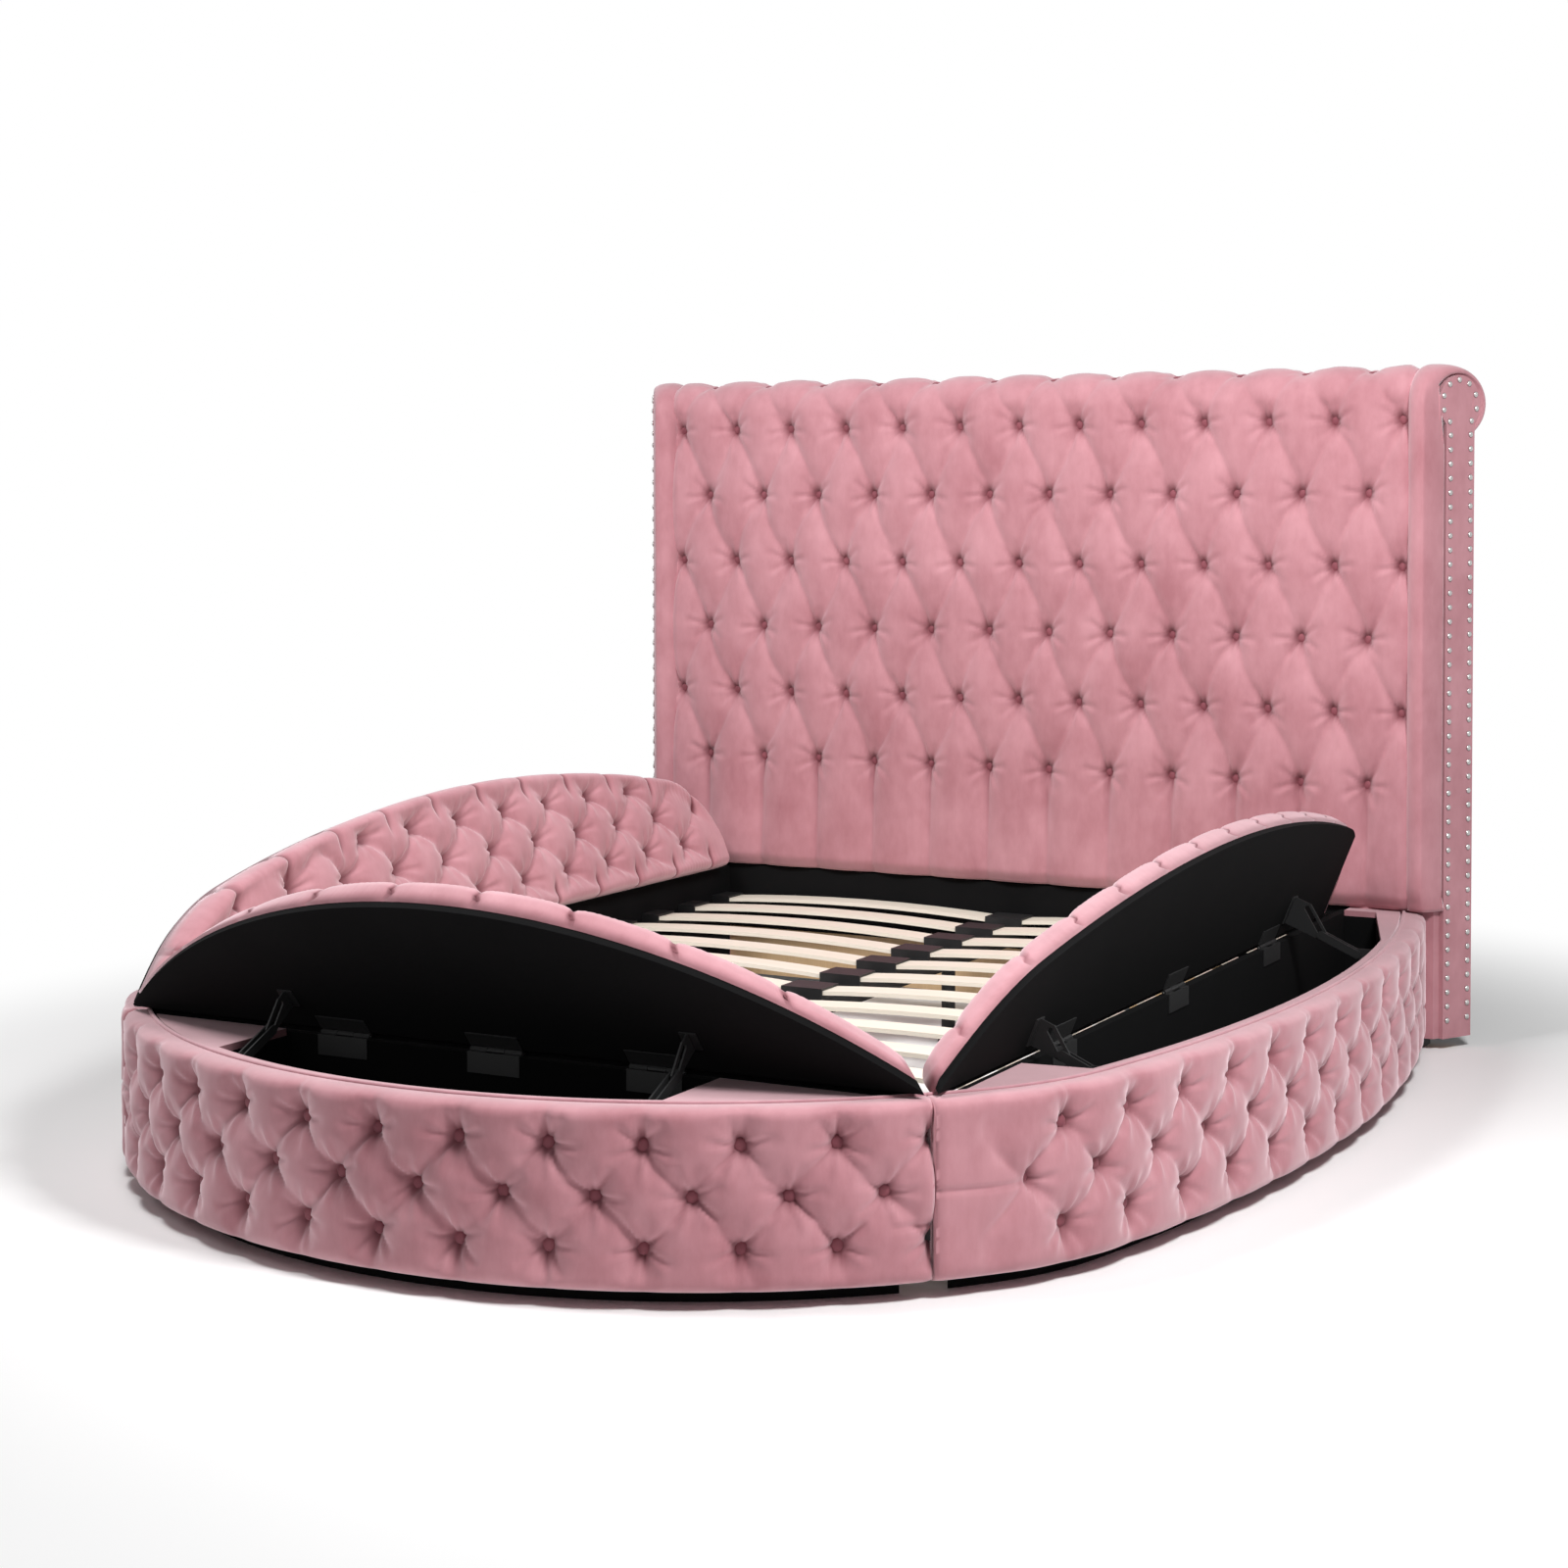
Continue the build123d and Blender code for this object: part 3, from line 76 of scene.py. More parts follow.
# The bed's middle is the origin
foot_edge = -(head_face + roll_behind + roll_radius - foot_reach) / 2
side_end = foot_edge + opening_length - 1
head_y = foot_edge + head_face
back_y = head_y - 2
roll_y = head_y + roll_behind
roll_z = bed_height - roll_radius

# Lids, as in the solids
foot_axis_y = foot_edge - 9
side_axis_x = half_opening + 9
foot_open = 52
side_open = 68
lid_pitch = 165
lid_step = 76
lid_first = 62
lid_inset = 10
lid_back = 1975
lid_round = 150
lid_low = 16.5

# Velvet over the walls, the headboard and the lids
wall_relief = 27
wall_sewn = 28
rim_round = 20
lower_round = 26
mitre_gap = 1
head_relief = 32
head_tuck = 12
face_curve = 71
roll_growth = 12
band_middle = 946.5
band_round = 38
lid_high = 67
lid_relief = 26
lid_edge_round = 20
lid_tip = 22
lid_near = -8.6

# Buttons, nails and piping
button_radius = 12.5
button_height = 8
button_dimple = 1.2
wall_button_depth = 34
head_button_depth = 38
roll_button_depth = 18
lid_button_drop = 33
nail_radius = 6.5
nail_height = 3.6
nail_pitch = 30.5
nail_row_inset = 12
piping_radius = 3.6
piping_inset = 47.5

# Centres, turns and runs of the plan's arcs; a run is measured from the middle of the foot
corner_sin = math.sin(math.radians(foot_arc_end))
corner_cos = math.cos(math.radians(foot_arc_end))
foot_c = np.array([0.0, foot_edge - foot_reach + foot_radius])
corner_c = foot_c + (foot_radius - corner_radius) * np.array([corner_sin, -corner_cos])
side_start = math.degrees(
    math.asin((corner_c[0] + side_radius - half_width) / (side_radius - corner_radius))
)
side_c = corner_c + (corner_radius - side_radius) * np.array(
    [math.sin(math.radians(side_start)), -math.cos(math.radians(side_start))]
)
seam = 45 + math.degrees(
    math.asin((half_opening - foot_c[1] + foot_edge) / math.sqrt(2) / foot_radius)
)
run_foot = math.radians(foot_arc_end) * foot_radius
run_corner = math.radians(side_start - foot_arc_end) * corner_radius
run_seam = math.radians(seam) * foot_radius
end_turn = math.degrees(math.acos((side_c[1] - side_end) / side_radius))
run_side_end = run_foot + run_corner + math.radians(end_turn - side_start) * side_radius


# Numbers on grids
def smooth(low, high, value):
    """3a^2 - 2a^3 with a going from 0 at low to 1 at high."""
    a = np.clip((value - low) / (high - low), 0, 1)
    return a * a * (3 - 2 * a)


def quarter_round(past, radius):
    """Depth of a quarter round, radius - sqrt(radius^2 - past^2), at a place past its start."""
    past = np.clip(past, 0, radius)
    return radius - np.sqrt(radius**2 - past**2)


def ripple(x, y, seed):
    """Sum of five slanted sines of falling size, between about -1 and 1; a calm, repeatable unevenness."""
    rng = np.random.default_rng(seed)
    total = np.zeros(np.broadcast(x, y).shape)
    for octave in range(5):
        turn = rng.uniform(0, math.tau)
        pace = 0.018 * 1.7**octave
        slant = x * math.cos(turn) + y * math.sin(turn)
        total += np.sin(pace * slant + rng.uniform(0, math.tau)) / (1.5 + octave)
    return total / 2


def outline(run):
    """Point and outward unit normal of the plan outline at a run from the middle of the foot.
    Each of the three arcs is centre + radius * (sin angle, -cos angle)."""
    run = np.asarray(run, float)
    side = np.where(run < 0, -1.0, 1.0)
    far = np.abs(run)
    angle = np.where(
        far < run_foot,
        far / foot_radius,
        np.where(
            far < run_foot + run_corner,
            math.radians(foot_arc_end) + (far - run_foot) / corner_radius,
            math.radians(side_start) + (far - run_foot - run_corner) / side_radius,
        ),
    )
    which = (far >= run_foot).astype(int) + (far >= run_foot + run_corner).astype(int)
    centre = np.array([foot_c, corner_c, side_c])[which]
    radius = np.array([foot_radius, corner_radius, side_radius])[which]
    normal = np.stack([np.sin(angle), -np.cos(angle)], -1)
    point = centre + radius[..., None] * normal
    point[..., 0] *= side
    normal[..., 0] *= side
    return point, normal


def tuft(s, t, pitch, step, low, high, bow=9.0):
    """Height from 0 to 1 of diamond tufting with buttons at staggered points. With s bowed sideways by
    bow * sin(pi t / step), p = s/pitch + t/(2 step) and q = s/pitch - t/(2 step) are whole numbers on the
    creases; the height is (P + Q)/4 + sqrt(P * Q)/2, P and Q being (sin(pi p)^2 + 0.005)^0.23 and the
    same of q. Past the first and last rows t is held, which turns the creases into straight pleats."""
    held = np.clip(t, low, high)
    bent = s + bow * np.sin(math.pi * held / step)
    p = bent / pitch + held / (2 * step)
    q = bent / pitch - held / (2 * step)
    rise_p = (np.sin(math.pi * p) ** 2 + 0.005) ** 0.23
    rise_q = (np.sin(math.pi * q) ** 2 + 0.005) ** 0.23
    return (rise_p + rise_q) / 4 + np.sqrt(rise_p * rise_q) / 2


def pucker(s, t, pitch, step, low, high):
    """Extra sinking round each button and the folds that run out of it, in millimetres. With r and a
    the distance and turn from the nearest button it is 8 * exp(-(r / 13)^2) + 13 * exp(-r / 23) for the
    pit, and (2.1 * cos(7 a + b) + 1.2 * cos(12 a + 2 b)) * (r / 22) * exp(1 - r / 22) for the folds;
    both fade out between 38 and 70, and b is each button's own."""
    p = s / pitch + t / (2 * step)
    q = s / pitch - t / (2 * step)
    near_p, near_q = np.round(p), np.round(q)
    along = (p - near_p + q - near_q) / 2 * pitch
    up = (p - near_p - q + near_q) * step
    away = np.hypot(along, up)
    turn = np.arctan2(up, along)
    own = 40 * np.sin(near_p * 12.99 + near_q * 78.23)
    spokes = 2.1 * np.cos(7 * turn + own) + 1.2 * np.cos(12 * turn + 2 * own)
    folds = spokes * (away / 22) * np.exp(1 - away / 22)
    sewn = (near_p - near_q) * step
    there = (sewn > low - 1) & (sewn < high + 1)
    pit = 8 * np.exp(-((away / 13) ** 2)) + 13 * np.exp(-away / 23)
    return there * (pit + folds) * (1 - smooth(38, 70, away))


def fold_shade_map(depth, shallow, deep, extra):
    """Map whose first value is the share of painted fold shade, smooth(shallow, deep, depth), darker where
    the cloth is let in deeper; a number of extra columns without painted shade is added for the back."""
    share = smooth(shallow, deep, depth)
    share = np.concatenate([share, np.zeros((len(share), extra))], 1)
    return np.stack([share, np.zeros(share.shape)], -1)


# Meshes
flip = np.array([-1.0, 1, 1])


def mesh_piece(name, points, faces, uv=None):
    """Piece from points in millimetres and faces as rows of point numbers."""
    data = bpy.data.meshes.new(name)
    data.from_pydata([], [], [])
    data.vertices.add(len(points))
    data.vertices.foreach_set("co", (np.asarray(points, float) * MM).ravel())
    faces = np.asarray(faces)
    count = faces.shape[1]
    data.loops.add(faces.size)
    data.loops.foreach_set("vertex_index", faces.ravel())
    data.polygons.add(len(faces))
    data.polygons.foreach_set("loop_start", np.arange(len(faces)) * count)
    data.polygons.foreach_set("loop_total", np.full(len(faces), count))
    data.update(calc_edges=True)
    data.validate()
    if uv is not None:
        # The map's first value is the share of painted fold shade.
        layer = data.uv_layers.new(name="cloth")
        layer.data.foreach_set("uv", uv[faces.ravel()].ravel())
    data.polygons.foreach_set("use_smooth", np.ones(len(data.polygons), bool))
    piece = bpy.data.objects.new(name, data)
    bpy.context.collection.objects.link(piece)
    return piece


def grid_faces(rows, columns, close=False):
    """Quads of a grid of points, joined round its second way if it is closed."""
    i = np.arange(rows - 1)[:, None]
    j = np.arange(columns if close else columns - 1)[None, :]
    a = i * columns + j
    b = i * columns + (j + 1) % columns
    return np.stack([a, b, b + columns, a + columns], -1).reshape(-1, 4)


def ring_faces(rows, columns):
    """Closed tube's quads plus the two end caps as strips of quads across the ring."""
    k = np.arange(columns // 2 - 1)
    cap = np.stack([k, columns - 1 - k, columns - 2 - k, k + 1], -1)
    far_cap = cap[:, ::-1] + (rows - 1) * columns
    return np.concatenate([grid_faces(rows, columns, close=True), cap, far_cap])


def tube_piece(name, grid, uv=None):
    """Closed tube from a grid of points, its rings along the second way."""
    uv = None if uv is None else uv.reshape(-1, 2)
    piece = mesh_piece(name, grid.reshape(-1, 3), ring_faces(*grid.shape[:2]), uv)
    face_outwards(piece)
    return piece


def face_outwards(piece):
    """Turns every face outwards: the shell's signed volume is made positive."""
    data = piece.data
    data.calc_loop_triangles()
    corners = np.empty(len(data.loop_triangles) * 3, int)
    data.loop_triangles.foreach_get("vertices", corners)
    points = np.empty(len(data.vertices) * 3)
    data.vertices.foreach_get("co", points)
    a, b, c = points.reshape(-1, 3)[corners.reshape(-1, 3)].transpose(1, 0, 2)
    if np.einsum("ij,ij->i", a, np.cross(b, c)).sum() < 0:
        data.flip_normals()


def mirrored(piece, name):
    """Left twin of a right piece: x changes sign and the faces turn back outwards."""
    data = piece.data.copy()
    points = np.empty(len(data.vertices) * 3)
    data.vertices.foreach_get("co", points)
    points[0::3] *= -1
    data.vertices.foreach_set("co", points)
    data.flip_normals()
    data.update()
    twin = bpy.data.objects.new(name, data)
    bpy.context.collection.objects.link(twin)
    return twin


def three_sides(name, make_grid):
    """Foot, right and left piece by side: make_grid gives the first two, and the left one is the
    right one's twin."""
    foot = tube_piece("foot" + name, *make_grid(True))
    right = tube_piece("right" + name, *make_grid(False))
    return {"foot": foot, "right": right, "left": mirrored(right, "left" + name)}


def joined_piece(name, shapes):
    """One piece from several (points, faces) shapes whose faces have one corner count."""
    points, faces, offset = [], [], 0
    for shape, quads in shapes:
        points.append(shape)
        faces.append(quads + offset)
        offset += len(shape)
    return mesh_piece(name, np.concatenate(points), np.concatenate(faces))


def dome_shapes(centres, normals, radius, height, around=12, rings=4, dimple=0.0):
    """Low domes standing at the centres along the normals. A ring at angle a lies radius * sin(a) out
    and height * cos(a) up, less dimple * exp(-(sin(a) / 0.35)^2); the base is closed."""
    turn = np.linspace(0, math.tau, around, endpoint=False)
    rise = np.linspace(math.pi / 2, 0.12, rings)
    dip = dimple * np.exp(-((np.sin(rise) / 0.35) ** 2))
    out = np.concatenate([[radius * 0.7], radius * np.sin(rise)])
    lift = np.concatenate([[-radius * 0.12], height * np.cos(rise) - dip])
    quads = ring_faces(rings + 1, around)
    shapes = []
    for centre, normal in zip(centres, normals):
        normal = normal / np.linalg.norm(normal)
        guide = np.array([0.0, 0, 1]) if abs(normal[2]) < 0.9 else np.array([1.0, 0, 0])
        across = np.cross(guide, normal)
        across /= np.linalg.norm(across)
        up = np.cross(normal, across)
        ring = across * np.cos(turn)[:, None] + up * np.sin(turn)[:, None]
        points = centre + out[:, None, None] * ring[None] + lift[:, None, None] * normal
        shapes.append((points.reshape(-1, 3), quads))
    return shapes


def dome_piece(name, centres, normals, radius, height, **kind):
    """One piece of many domes."""
    piece = joined_piece(name, dome_shapes(centres, normals, radius, height, **kind))
    face_outwards(piece)
    return piece


def cord_grid(path, radius, around=10):
    """Round cord along a path: point + radius * (cos a * side + sin a * up), side and up being
    square to it."""
    path = np.asarray(path, float)
    ahead = np.gradient(path, axis=0)
    ahead /= np.linalg.norm(ahead, axis=1)[:, None]
    side = np.cross(ahead, [0.0, 0, 1.0])
    flat = np.linalg.norm(side, axis=1)[:, None]
    side = np.where(flat > 0.05, side / np.maximum(flat, 1e-6), [[1.0, 0, 0]])
    up = np.cross(side, ahead)
    turn = np.linspace(0, math.tau, around, endpoint=False)
    ring = side[:, None] * np.cos(turn)[:, None] + up[:, None] * np.sin(turn)[:, None]
    return path[:, None] + radius * ring


# Shader maths as plain expressions
class Wire:
    """One shader socket, with + - * / and powers that add their Math nodes."""

    def __init__(self, tree, socket):
        self.tree = tree
        self.socket = socket

    def maths(self, operation, *values):
        return self.tree.node("ShaderNodeMath", {"operation": operation}, dict(enumerate(values))).out(0)

    def __add__(self, other):
        return self.maths("ADD", self, other)

    def __sub__(self, other):
        return self.maths("SUBTRACT", self, other)

    def __rsub__(self, other):
        return self.maths("SUBTRACT", other, self)

    def __mul__(self, other):
        return self.maths("MULTIPLY", self, other)

    def __truediv__(self, other):
        return self.maths("DIVIDE", self, other)

    def __pow__(self, other):
        return self.maths("POWER", self, other)

    def clip(self):
        return self.maths("MINIMUM", self.maths("MAXIMUM", self, 0.0), 1.0)


class Node:
    """One shader node: its outputs as wires."""

    def __init__(self, tree, node):
        self.tree = tree
        self.made = node

    def out(self, key):
        return Wire(self.tree, self.made.outputs[key])


class Finish:
    """One material built from nodes."""

    def __init__(self, name):
        self.material = bpy.data.materials.new(name)
        self.material.use_nodes = True
        self.nodes = self.material.node_tree.nodes
        self.links = self.material.node_tree.links
        self.shader = self.nodes["Principled BSDF"]

    def node(self, kind, settings=None, values=None):
        """Adds a node: its settings first, then its sockets' values or links."""
        made = self.nodes.new(kind)
        for key, value in (settings or {}).items():
            setattr(made, key, value)
        for key, value in (values or {}).items():
            self.put(made.inputs[key], value)
        return Node(self, made)

    def put(self, socket, value):
        if isinstance(value, Wire):
            self.links.new(value.socket, socket)
        else:
            socket.default_value = value

    def shade(self, **values):
        for key, value in values.items():
            self.put(self.shader.inputs[key.replace("_", " ")], value)

    def place(self, scale=(1, 1, 1)):
        """Object coordinates, stretched by a scale."""
        where = self.node("ShaderNodeTexCoord").out("Object")
        return self.node("ShaderNodeMapping", None, {"Vector": where, "Scale": scale}).out(0)

    def noise(self, where, scale, detail=3.0, roughness=0.5):
        values = {"Vector": where, "Scale": scale, "Detail": detail, "Roughness": roughness}
        return self.node("ShaderNodeTexNoise", None, values).out("Fac")

    def mix(self, share, low, high):
        """Colour between two colours, each a wire or its red, green and blue; sockets 6 and 7 take
        them and output 2 gives the colour."""
        low, high = [(*end, 1) if isinstance(end, tuple) else end for end in (low, high)]
        ends = {"Factor": share, 6: low, 7: high}
        return self.node("ShaderNodeMix", {"data_type": "RGBA"}, ends).out(2)

    def bump(self, height, strength, distance):
        values = {"Height": height, "Strength": strength, "Distance": distance}
        return self.node("ShaderNodeBump", None, values).out(0)


def velvet(name, deep, mid, light, fold_shade_colour=(0.13, 0.02, 0.03), sheen=0.5):
    """Short-pile velvet: broad brushed patches, fine pile grain, a painted sheen highlight that lightens
    the colour at grazing angles, and painted shade that darkens the sewn folds, whose share each piece
    keeps in the first value of its own map."""
    cloth = Finish(name)
    where = cloth.place()
    brushed = cloth.noise(where, 7.0, 3.0, 0.55)
    crushed = cloth.noise(cloth.place((1.0, 1.0, 0.45)), 34.0, 4.0, 0.6)
    pile = cloth.noise(where, 900.0, 1.0)
    share = (brushed * 1.5 + crushed * 0.9 - 0.7).clip()
    base = cloth.mix(share, deep, mid)
    # Painted sheen highlight: the colour is lightened towards the light tone where the surface is seen at
    # grazing angles.
    facing = cloth.node("ShaderNodeLayerWeight", None, {"Blend": 0.42}).out("Facing")
    painted_rim_sheen = (facing**1.9) * 0.7
    colour = cloth.mix(painted_rim_sheen.clip(), base, light)
    # Painted fold shade: the colour is darkened towards the dark fold colour by the share in the piece's
    # own map.
    own_map = cloth.node("ShaderNodeUVMap", {"uv_map": "cloth"}).out("UV")
    fold_shade_share = cloth.node("ShaderNodeSeparateXYZ", None, {"Vector": own_map}).out("X")
    colour = cloth.mix((fold_shade_share * 0.9).clip(), colour, fold_shade_colour)
    height = crushed * 0.6 + pile * 0.4
    tint = (*[min(1.0, c * 1.25) for c in light], 1)
    cloth.shade(Base_Color=colour, Roughness=0.68, Specular_IOR_Level=0.32)
    cloth.shade(Sheen_Weight=sheen, Sheen_Roughness=0.38, Sheen_Tint=tint)
    cloth.shade(Normal=cloth.bump(height, 0.25, 0.0012))
    return cloth.material


def lining(name, dark, light):
    """Thin black non-woven cloth: a dull mottled felt of fibres."""
    cloth = Finish(name)
    where = cloth.place()
    fibres = cloth.noise(where, 420.0, 4.0, 0.7)
    clouds = cloth.noise(where, 9.0, 2.0)
    share = (fibres * 0.8 + clouds * 0.4 - 0.2).clip()
    cloth.shade(Base_Color=cloth.mix(share, dark, light), Roughness=0.95, Specular_IOR_Level=0.1)
    cloth.shade(Normal=cloth.bump(fibres, 0.3, 0.0008))
    return cloth.material


def wood(name, dark, light, along, rough=0.42):
    """Straight-grained wood: fine stretched fibres and slow bands along one axis."""
    board = Finish(name)
    stretch = [26.0, 26.0, 26.0]
    stretch[along] = 1.2
    where = board.place(tuple(stretch))
    fibres = board.noise(where, 9.0, 5.0, 0.65)
    bands = board.noise(board.place(tuple(v / 6 for v in stretch)), 3.0, 2.0)
    share = (fibres * 0.75 + bands * 0.55 - 0.2).clip()
    board.shade(Base_Color=board.mix(share, dark, light), Roughness=fibres * 0.2 + (rough - 0.1))
    board.shade(Coat_Roughness=0.3, Normal=board.bump(fibres, 0.12, 0.0006))
    return board.material


def metal(name, colour, rough, wear):
    """Plated or coated metal: slight cloudiness in its tone and polish."""
    plate = Finish(name)
    where = plate.place()
    clouds = plate.noise(where, 60.0, 3.0)
    scratches = plate.noise(plate.place((8.0, 1.0, 1.0)), 300.0, 2.0)
    tone = plate.mix(clouds, tuple(c * (1 - wear) for c in colour), colour)
    polish = clouds * 0.14 + scratches * 0.08 + (rough - 0.1)
    plate.shade(Base_Color=tone, Metallic=1.0, Roughness=polish)
    return plate.material


def coated(name, dark, light, rough):
    """Coated or moulded matt surface with a fine orange-peel grain."""
    skin = Finish(name)
    where = skin.place()
    grain = skin.noise(where, 500.0, 2.0)
    clouds = skin.noise(where, 14.0, 2.0)
    skin.shade(Base_Color=skin.mix(clouds, dark, light), Roughness=grain * 0.15 + (rough - 0.08))
    skin.shade(Normal=skin.bump(grain, 0.15, 0.0004))
    return skin.material


# Velvet tones: deep and mid for the brushed patches, and the pale tone of the painted grazing sheen.
rose = velvet("rose_velvet", (0.38, 0.15, 0.175), (0.55, 0.265, 0.30), (0.86, 0.66, 0.70))
# The covered buttons' velvet is the pad's velvet painted darker and with less sheen, as painted shade for
# the button pits.
shade_darkened_button_velvet = velvet(
    "button_velvet", (0.16, 0.035, 0.05), (0.27, 0.08, 0.10), (0.46, 0.23, 0.26), sheen=0.1
)
rose_piping = velvet(
    "piping_velvet", (0.38, 0.17, 0.20), (0.60, 0.32, 0.36), (0.84, 0.62, 0.66), sheen=0.4
)
black_cloth = lining("black_lining", (0.002, 0.002, 0.0022), (0.007, 0.007, 0.0075))
black_board = lining("black_board_cloth", (0.003, 0.003, 0.0032), (0.009, 0.009, 0.0095))
slat_wood = wood("pale_slat_wood", (0.82, 0.74, 0.60), (0.93, 0.88, 0.78), 0)
ply = wood("pine_board", (0.45, 0.29, 0.15), (0.66, 0.48, 0.29), 2, 0.6)
zinc = metal("zinc_plate", (0.66, 0.66, 0.67), 0.34, 0.2)
nail_metal = metal("polished_nickel", (0.56, 0.55, 0.54), 0.24, 0.2)
black_steel = coated("black_powder_coat", (0.004, 0.004, 0.0045), (0.007, 0.007, 0.0075), 0.66)
black_plastic = coated("black_plastic", (0.006, 0.006, 0.0065), (0.012, 0.012, 0.0125), 0.5)


def finish_piece(piece, material, body, replaced=()):
    """Material, body and the CAD nodes that the piece stands for."""
    piece.data.materials.clear()
    piece.data.materials.append(material)
    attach(piece, body)
    if replaced:
        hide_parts(*replaced)
    return piece


def finish_buttons(name, centres, normals, body, node):
    """Covered buttons of one part as one piece, which stands for their node."""
    piece = dome_piece(name, centres, normals, button_radius, button_height, dimple=button_dimple)
    finish_piece(piece, shade_darkened_button_velvet, body, [node])


# Tufted outer walls
def wall_layout(is_foot):
    """Start and end run, middle-row button runs, and pitch of one wall, as in the solids."""
    start, end = (-run_seam, run_seam) if is_foot else (run_seam, run_side_end)
    count = round((end - start) / wall_pitch)
    pitch = (end - start) / count
    if is_foot:
        return start, end, start + pitch * (np.arange(count) + 0.5), pitch
    return start, end, start + pitch * (np.arange(count - 1) + 1), pitch


def wall_grid(is_foot):
    """Closed band round one wall: outer face, rim edge, back and bottom. On the face the point is
    outline - (28 - 27 * tuft * fade) * normal, drawn in by a quarter round of 20 mm at the rim and of
    26 mm at the foot, with one level pleat from the last button to the mitre; runs end on the mitre
    plane."""
    start, end, middle, pitch = wall_layout(is_foot)
    first, last = middle[0], middle[-1]
    steps = int((end - start) / 5.5)
    run = np.linspace(start + 1.2, end - 1.2, steps)[:, None]
    height = np.linspace(plinth, rim, 58)[None, :] + 0 * run
    to_end = np.minimum(run - start, end - run)
    step = wall_rows[1] - wall_rows[0]
    lattice = (run - first, height - wall_rows[1], pitch, step, -step, step)

    calm = smooth(plinth - 12, wall_rows[0] - 14, height)
    calm = calm * (1 - 0.55 * smooth(wall_rows[2] + 6, rim, height))
    if not is_foot:
        calm = calm * smooth(0.35, 0.8, to_end / pitch)
    puffed = 1 - calm * (1 - tuft(*lattice, bow=7.0))
    inset = wall_sewn - wall_relief * puffed * (0.8 + 0.2 * smooth(0, 12, to_end))
    inset = inset + 1.3 * ripple(run, height * 1.6, 3)

    beyond = 1 + 0.6 * pitch * is_foot
    inset = inset + ((run > first - beyond) & (run < last + beyond)) * pucker(*lattice)
    plain_end = np.maximum(smooth(0, 12, first - run), smooth(0, 12, run - last))
    from_pleat = height - wall_rows[1] + 0.03 * (run - start)
    inset = inset + 5 * plain_end * np.exp(-((from_pleat / 5) ** 2))

    # The back's section, as insets and heights
    back = np.array([[46, rim], [53, rim - 3], [54.4, 170], [54.4, plinth + 2], [44, plinth]])
    # Share of painted fold shade: darker where the face is let in deeper, down into the button pits.
    folds = fold_shade_map(inset, 12, 34, len(back))
    inset = inset + 0.9 * quarter_round(height - (rim - rim_round), rim_round)
    inset = inset + 0.8 * quarter_round(plinth + lower_round - height, lower_round)
    inset = np.concatenate([inset, np.broadcast_to(back[None, :, 0], (steps, len(back)))], 1)
    z = np.concatenate([height, np.broadcast_to(back[None, :, 1], (steps, len(back)))], 1)
    point, normal = outline(run[:, 0])
    flat = point[:, None] - inset[..., None] * normal[:, None]
    grid = np.concatenate([flat, z[..., None]], -1)
    return clear_corner(grid, is_foot), folds


def clear_corner(grid, is_foot):
    """Keeps a wall's points on its own side of the mitres: |x| - 765 <= -(y - foot edge) - 1 for the
    foot, and the other way round for the sides. A foot wall's point past the mitre slides across the
    bed onto it, a side wall's along the bed."""
    out = np.abs(grid[..., 0]) - half_opening
    forward = foot_edge - grid[..., 1]
    if is_foot:
        grid[..., 0] -= np.sign(grid[..., 0]) * np.maximum(0, out - forward + mitre_gap)
    else:
        grid[..., 1] += np.maximum(0, forward - out + mitre_gap)
        grid[..., 1] = np.minimum(grid[..., 1], side_end)
    return grid


def wall_button_spots(is_foot):
    """Button centres and normals on the sewn face of one wall, in the solids' places."""
    _, _, middle, pitch = wall_layout(is_foot)
    between = middle[:-1] + pitch / 2
    spots, normals = [], []
    for row, runs in ((1, middle), (0, between), (2, between)):
        point, normal = outline(runs)
        height = np.full(len(runs), float(wall_rows[row]))
        spots.append(np.column_stack([point - wall_button_depth * normal, height]))
        normals.append(np.column_stack([normal, np.zeros(len(runs))]))
    return np.concatenate(spots), np.concatenate(normals)


for side, piece in three_sides("_wall_velvet", wall_grid).items():
    finish_piece(piece, rose, "bed", [side + "_wall_pad"])
spots, normals = wall_button_spots(True)
side_spots, side_normals = wall_button_spots(False)
finish_buttons(
    "wall_covered_buttons",
    np.concatenate([spots, side_spots, side_spots * flip]),
    np.concatenate([normals, side_normals, side_normals * flip]),
    "bed",
    "wall_buttons",
)


# Headboard
def head_profile(t):
    """Crown line of the tufted face by lattice height t: straight up at 71 mm before the roll's axis,
    then round the roll with radius 71 + 12 * smooth(turn over a quarter). The roll turns 82 degrees up
    to its own button row and 104 degrees per row step past it. Returns y, z and the outward y and z."""
    turn = np.where(t < roll_z, 0.0, (t - roll_z) / (roll_row - roll_z) * 82)
    turn = np.where(t >= roll_row, 82 + (t - roll_row) / head_step * 104, turn)
    a = np.radians(turn)
    radius = face_curve + roll_growth * smooth(0, math.pi / 2, a)
    y = roll_y - radius * np.cos(a)
    z = np.where(t < roll_z, t, roll_z + radius * np.sin(a))
    return y, z, -np.cos(a), np.sin(a)


